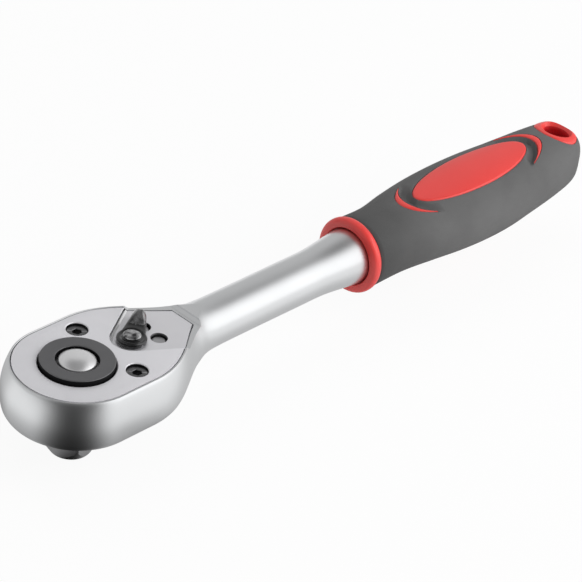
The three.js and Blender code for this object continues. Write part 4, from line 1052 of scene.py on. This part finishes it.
mouth_radius = float(along(SHANK, COLLAR_X, 1)) + FIT
bore_rows = [
    (mouth_radius + 0.8, COLLAR_X - 1),
    (mouth_radius + 0.3, COLLAR_X),
    (mouth_radius, COLLAR_X + 0.4),
    (mouth_radius, COLLAR_X + MOUTH_DEPTH),
    (TANG_RADIUS + FIT, COLLAR_X + MOUTH_DEPTH),
    (TANG_RADIUS + FIT, TANG_END + FIT),
]
eyelet_high, eyelet_rise = along(GRIP, HOLE_MIDDLE, 2), along(GRIP, HOLE_MIDDLE, 3)
hole_levels = []
for share in np.linspace(-1.5, 0, 13):
    height = eyelet_rise - eyelet_high + HOLE_FLARE_DEPTH * (1 + share)
    hole_levels.append((height, abs(share) ** 1.8))
hole_levels += [(2 * eyelet_rise - height, flare) for height, flare in hole_levels[::-1]]
hole_angle = full_turn(72)
hole_rings = []
for height, flare in hole_levels:
    x = COLLAR_X + HOLE_MIDDLE + (HOLE[0] + flare * HOLE_FLARE[0]) * np.cos(hole_angle)
    y = (HOLE[1] + flare * HOLE_FLARE[1]) * np.sin(hole_angle)
    hole_rings.append(at_height(np.column_stack([x, y]), height))
combine(core, [turned_along(bore_rows), skin(hole_rings)])
core_skin = finish_piece(core, "grip_core", "handle", red_plastic)
# Painted shade: the hanging hole's bore is drawn a darker red.
bore_shade = surface(
    "red bore painted shade", display(196, 22, 30), display(176, 16, 24),
    roughness=(0.6, 0.7), depth=0.00004,
)


def in_hole(x, y, z, up):
    """Whether a place lies in the hanging hole."""
    return math.hypot((x - COLLAR_X - HOLE_MIDDLE) / (HOLE[0] + 0.3), y / (HOLE[1] + 0.3)) < 1


paint(core_skin, bore_shade, in_hole)

# Grey sleeve: soft thermoplastic rubber moulded over the red core, with windows for the inlays.
# A channel is sunk between each end of the oval and its crescent.
SEAM = 0.12  # hairline between the two mouldings
CHANNEL_DEPTH = 2
LIP_DEPTH = 0.22
SHADED_LENGTH = 33  # painted shade darkens the rubber over this length from the collar's front
WINDOW_REACH = 40
END_CURVE = 103  # from here the grip rounds over to its end
grey_rubber = surface(
    "grey soft moulding", display(82, 82, 82), display(112, 112, 112),
    roughness=(0.62, 0.74), grain=2200, depth=0.00005, plain={"Specular IOR Level": 0.35},
)
# Painted shade: toward the collar the rubber is drawn darker
rubber_tree = grey_rubber.node_tree
rubber_colour = rubber_tree.nodes["Principled BSDF"].inputs["Base Color"]
rubber_place = add_node(rubber_tree, "TexCoord").outputs["Object"]
distance = add_node(rubber_tree, "SeparateXYZ", {"Vector": rubber_place}).outputs["X"]
front, dark_end = 0.001 * COLLAR_X, 0.001 * (COLLAR_X + SHADED_LENGTH)
unshaded = spread(rubber_tree, distance, front, dark_end, first=0.25)
even_colour = rubber_colour.links[0].from_socket
rubber_tree.links.new(mix_colours(rubber_tree, unshaded, display(52, 52, 52), even_colour), rubber_colour)


def ease(low, high, value):
    """Smooth step from 0 at low to 1 at high."""
    t = np.clip((value - low) / (high - low), 0, 1)
    return t * t * (3 - 2 * t)


def sleeve_sink(x, y):
    """How far the sleeve's skin is sunk at a place in plan: the channels and the lip round the oval."""
    ahead = x - OVAL_MIDDLE
    reach = np.hypot(ahead / OVAL[0], y / OVAL[1])
    oval_edge = np.hypot(ahead, y) / np.maximum(reach, 1e-6)
    from_oval = np.hypot(ahead, y) - oval_edge
    sink = LIP_DEPTH * (1 - ease(0, 0.9, from_oval))
    for crescent in CRESCENTS:
        width = crescent["side"] / math.sqrt(1 - (crescent["tip"] / crescent["inner"]) ** 2)
        inner = np.hypot(ahead, y) / np.maximum(np.hypot(ahead / crescent["inner"], y / width), 1e-6)
        across = from_oval / np.maximum(inner - oval_edge, 1e-6)
        end = ease(crescent["tip"] - 3, crescent["tip"] + 1.5, crescent["way"] * ahead)
        sink = np.maximum(sink, CHANNEL_DEPTH * end * ease(0, 0.35, across) * (1 - ease(0.75, 1, across)))
    return sink


plain_stops = np.arange(COLLAR_LENGTH + FIT, END_CURVE, 0.5)
sleeve_stops = np.concatenate([plain_stops, np.linspace(END_CURVE, GRIP_LENGTH, 22)])
sleeve_rings = [grip_section(sleeve_stops[0], 0.7, 192)]
for x in sleeve_stops:
    ring = grip_section(x, 0.45 * (1 - ease(0, 0.9, x - sleeve_stops[0])), 192)
    rise = along(GRIP, x, 3)
    ring[:, 2] -= np.sign(ring[:, 2] - rise) * sleeve_sink(x, ring[:, 1])
    sleeve_rings.append(ring)
end_ring = sleeve_rings[-1]
end_middle = end_ring.mean(axis=0)
for share, ahead in ((0.75, 0.07), (0.4, 0.12), (0.1, 0.14)):
    sleeve_rings.append(end_middle + share * (end_ring - end_middle) + (ahead, 0, 0))
inside_stops = np.linspace(COLLAR_LENGTH - 2, CORE_END + SEAM, 90)
inside = skin([grip_section(x, SLEEVE_WALL - SEAM, 96) for x in inside_stops])
sleeve = combine(skin(sleeve_rings), [inside])


def oval_window(middle, axes):
    """Cutter for an oval inlay's window, wider than the inlay by the seam."""
    angle = full_turn(144)
    x = COLLAR_X + middle + (axes[0] + SEAM) * np.cos(angle)
    y = (axes[1] + SEAM) * np.sin(angle)
    return prism(np.column_stack([x, y]), [(-WINDOW_REACH, 0), (WINDOW_REACH, 0)])


def crescent_window(crescent):
    """Cutter for a crescent's window, wider than the crescent by the seam."""
    y = crescent["side"] * np.sin(np.linspace(-0.5 * math.pi, 0.5 * math.pi, 81))
    inner, outer = crescent_edges(crescent, y)
    outline = np.concatenate([np.column_stack([outer, y]), np.column_stack([inner, y])[-2:0:-1]])
    outline[:, 0] = COLLAR_X + OVAL_MIDDLE + crescent["way"] * outline[:, 0]
    if crescent["way"] < 0:
        outline = outline[::-1]
    return prism(outline, [(-WINDOW_REACH, SEAM), (WINDOW_REACH, SEAM)])


windows = [oval_window(OVAL_MIDDLE, OVAL), oval_window(EYELET_MIDDLE, EYELET)]
windows.extend(crescent_window(crescent) for crescent in CRESCENTS)
combine(sleeve, windows)
finish_piece(sleeve, "grip_sleeve", "handle", grey_rubber)

# Studio: a white floor and surround and soft lamps. Toward the camera the room is dark, and the
# chrome mirrors that: mirror rays see a painted reflection on the floor, dark in front of the head,
# with a painted shadow round the tool and darker behind it, and the sky darkens there.
FLOOR_SIZE = 6
DARK_SIDE = (-0.69, -0.72, 0)
BRIGHT_SIDE = (0.62, -0.73, 0.3)


def mirrored(tree):
    """1 for what is seen in a mirror or glass."""
    rays = add_node(tree, "LightPath").outputs
    return reckon(tree, "ADD", rays["Is Glossy Ray"], rays["Is Transmission Ray"], use_clamp=True)


def shown(tree):
    """1 for what the camera sees directly."""
    return add_node(tree, "LightPath").outputs["Is Camera Ray"]


def glow(tree, kind, strength):
    """White light of a strength."""
    return add_node(tree, kind, {"Color": (1, 1, 1, 1), "Strength": strength}).outputs[0]


def mixed(tree, share, first, second):
    """Two shaders, mixed by the second one's share."""
    return add_node(tree, "MixShader", {0: share, 1: first, 2: second}).outputs[0]


def shade(tree, value, start, end, light, dark):
    """Smooth change from light to dark as a value goes from start to end."""
    return spread(tree, value, start, end, light, dark, interpolation_type="SMOOTHSTEP")


def facing(tree, direction, toward):
    """How far a direction points toward another, from -1 to 1."""
    unit = add_node(tree, "VectorMath", {0: direction}, operation="NORMALIZE")
    return add_node(
        tree, "VectorMath", {0: unit.outputs[0], 1: toward}, operation="DOT_PRODUCT"
    ).outputs["Value"]


floor_mesh = bpy.data.meshes.new("floor")
h = FLOOR_SIZE / 2
floor_mesh.from_pydata([(-h, -h, 0), (h, -h, 0), (h, h, 0), (-h, h, 0)], [], [(0, 1, 2, 3)])
floor = bpy.data.objects.new("floor", floor_mesh)
scene.collection.objects.link(floor)
floor.location.z = -0.0004
white_floor = bpy.data.materials.new("white floor")
white_floor.use_nodes = True
floor_tree = white_floor.node_tree
floor_tree.nodes.clear()
floor_place = add_node(floor_tree, "TexCoord").outputs["Object"]
# Painted reflection for mirror rays: dark toward the camera's side of the room.
to_dark_side = facing(floor_tree, floor_place, DARK_SIDE)
painted_reflection = shade(floor_tree, to_dark_side, start=0.6, end=1.03, light=0.97, dark=0.035)
# Painted shadow of the tool in the mirrored floor, darkest close to the head.
floor_x = add_node(floor_tree, "SeparateXYZ", {0: floor_place})
along_x, along_y = floor_x.outputs["X"], floor_x.outputs["Y"]
ahead = reckon(floor_tree, "MINIMUM", along_x, 0.0)
beside = add_node(floor_tree, "CombineXYZ", {"X": ahead, "Y": along_y}).outputs[0]
reach = add_node(floor_tree, "VectorMath", {0: beside}, operation="LENGTH").outputs["Value"]
half_width = shade(floor_tree, along_x, start=0.013, end=0.045, light=0.021, dark=0.0075)
gap = reckon(floor_tree, "SUBTRACT", reach, half_width)
under_head = shade(floor_tree, along_x, start=0.02, end=0.05, light=0.42, dark=0.62)
under = shade(floor_tree, gap, start=0.0, end=0.05, light=under_head, dark=1.0)
# Painted reflection: darker behind the tool.
to_far_side = facing(floor_tree, floor_place, (0, 1, 0))
behind = shade(floor_tree, to_far_side, start=0.75, end=1.0, light=1.0, dark=0.6)
painted_reflection = reckon(floor_tree, "MULTIPLY", reckon(floor_tree, "MULTIPLY", painted_reflection, under), behind)
floor_paint = add_node(floor_tree, "BsdfDiffuse", {"Color": (0.82, 0.82, 0.82, 1)}).outputs[0]
floor_white = mixed(floor_tree, 0.93, floor_paint, glow(floor_tree, "Emission", 1.0))
# Mirror rays see the floor glow with the painted reflection; other rays see its paint.
floor_near = mixed(floor_tree, mirrored(floor_tree), floor_paint, glow(floor_tree, "Emission", painted_reflection))
floor_mix = mixed(floor_tree, shown(floor_tree), floor_near, floor_white)
add_node(floor_tree, "OutputMaterial", {"Surface": floor_mix})
floor_mesh.materials.append(white_floor)

world = bpy.data.worlds.new("studio")
scene.world = world
world.use_nodes = True
air = world.node_tree
air.nodes.clear()
sky_way = add_node(air, "TexCoord").outputs["Generated"]
sky_front = shade(air, facing(air, sky_way, DARK_SIDE), start=0.45, end=1.02, light=0.57, dark=0.06)
sky_window = shade(air, facing(air, sky_way, BRIGHT_SIDE), start=0.62, end=0.98, light=0.0, dark=0.8)
sky_top = shade(air, facing(air, sky_way, (0, 0, 1)), start=0.68, end=0.95, light=1.0, dark=0.25)
sky = reckon(air, "ADD", reckon(air, "MULTIPLY", sky_front, sky_top), sky_window)
air_near = mixed(air, mirrored(air), glow(air, "Background", 0.35), glow(air, "Background", sky))
air_mix = mixed(air, shown(air), air_near, glow(air, "Background", 1.0))
add_node(air, "OutputWorld", {"Surface": air_mix})


def lamp(name, place, target, size, power):
    """Soft square lamp that faces a target."""
    data = bpy.data.lights.new(name, "AREA")
    data.shape = "SQUARE"
    data.size = size
    data.energy = power
    light = bpy.data.objects.new(name, data)
    scene.collection.objects.link(light)
    light.location = place
    light.rotation_euler = (Vector(target) - Vector(place)).to_track_quat("-Z", "Y").to_euler()
    light.visible_glossy = False
    return light


TOOL_MIDDLE = (0.1, 0, 0.02)
lamp("key", (0.5, -0.7, 0.55), TOOL_MIDDLE, 0.8, 8)
lamp("top", (0.3, 0.5, 1.1), TOOL_MIDDLE, 1.0, 3.5)
lamp("left", (-0.9, 0.6, 0.6), TOOL_MIDDLE, 0.8, 1)

# Camera: a long lens in front of the head, above the tool and rolled a little, as in the photograph.
# Its lens is given in pixels of the square picture.
PICTURE = 582
LENS = 2700
SENSOR = 36
CAMERA_PLACE = (-0.4405, -0.4359, 0.4657)
RIGHT = Vector((0.6882, -0.7161, 0.1165)).normalized()
FORWARD = Vector((0.6466, 0.5326, -0.5461)).normalized()
UP = RIGHT.cross(FORWARD)
view = bpy.data.cameras.new("camera")
view.sensor_width = SENSOR
view.lens = SENSOR * LENS / PICTURE
view.clip_start = 0.01
camera = bpy.data.objects.new("camera", view)
scene.collection.objects.link(camera)
turn = Matrix((RIGHT, UP, -FORWARD)).transposed().to_4x4()
camera.matrix_world = Matrix.Translation(CAMERA_PLACE) @ turn
scene.camera = camera
scene.view_settings.view_transform = "Standard"
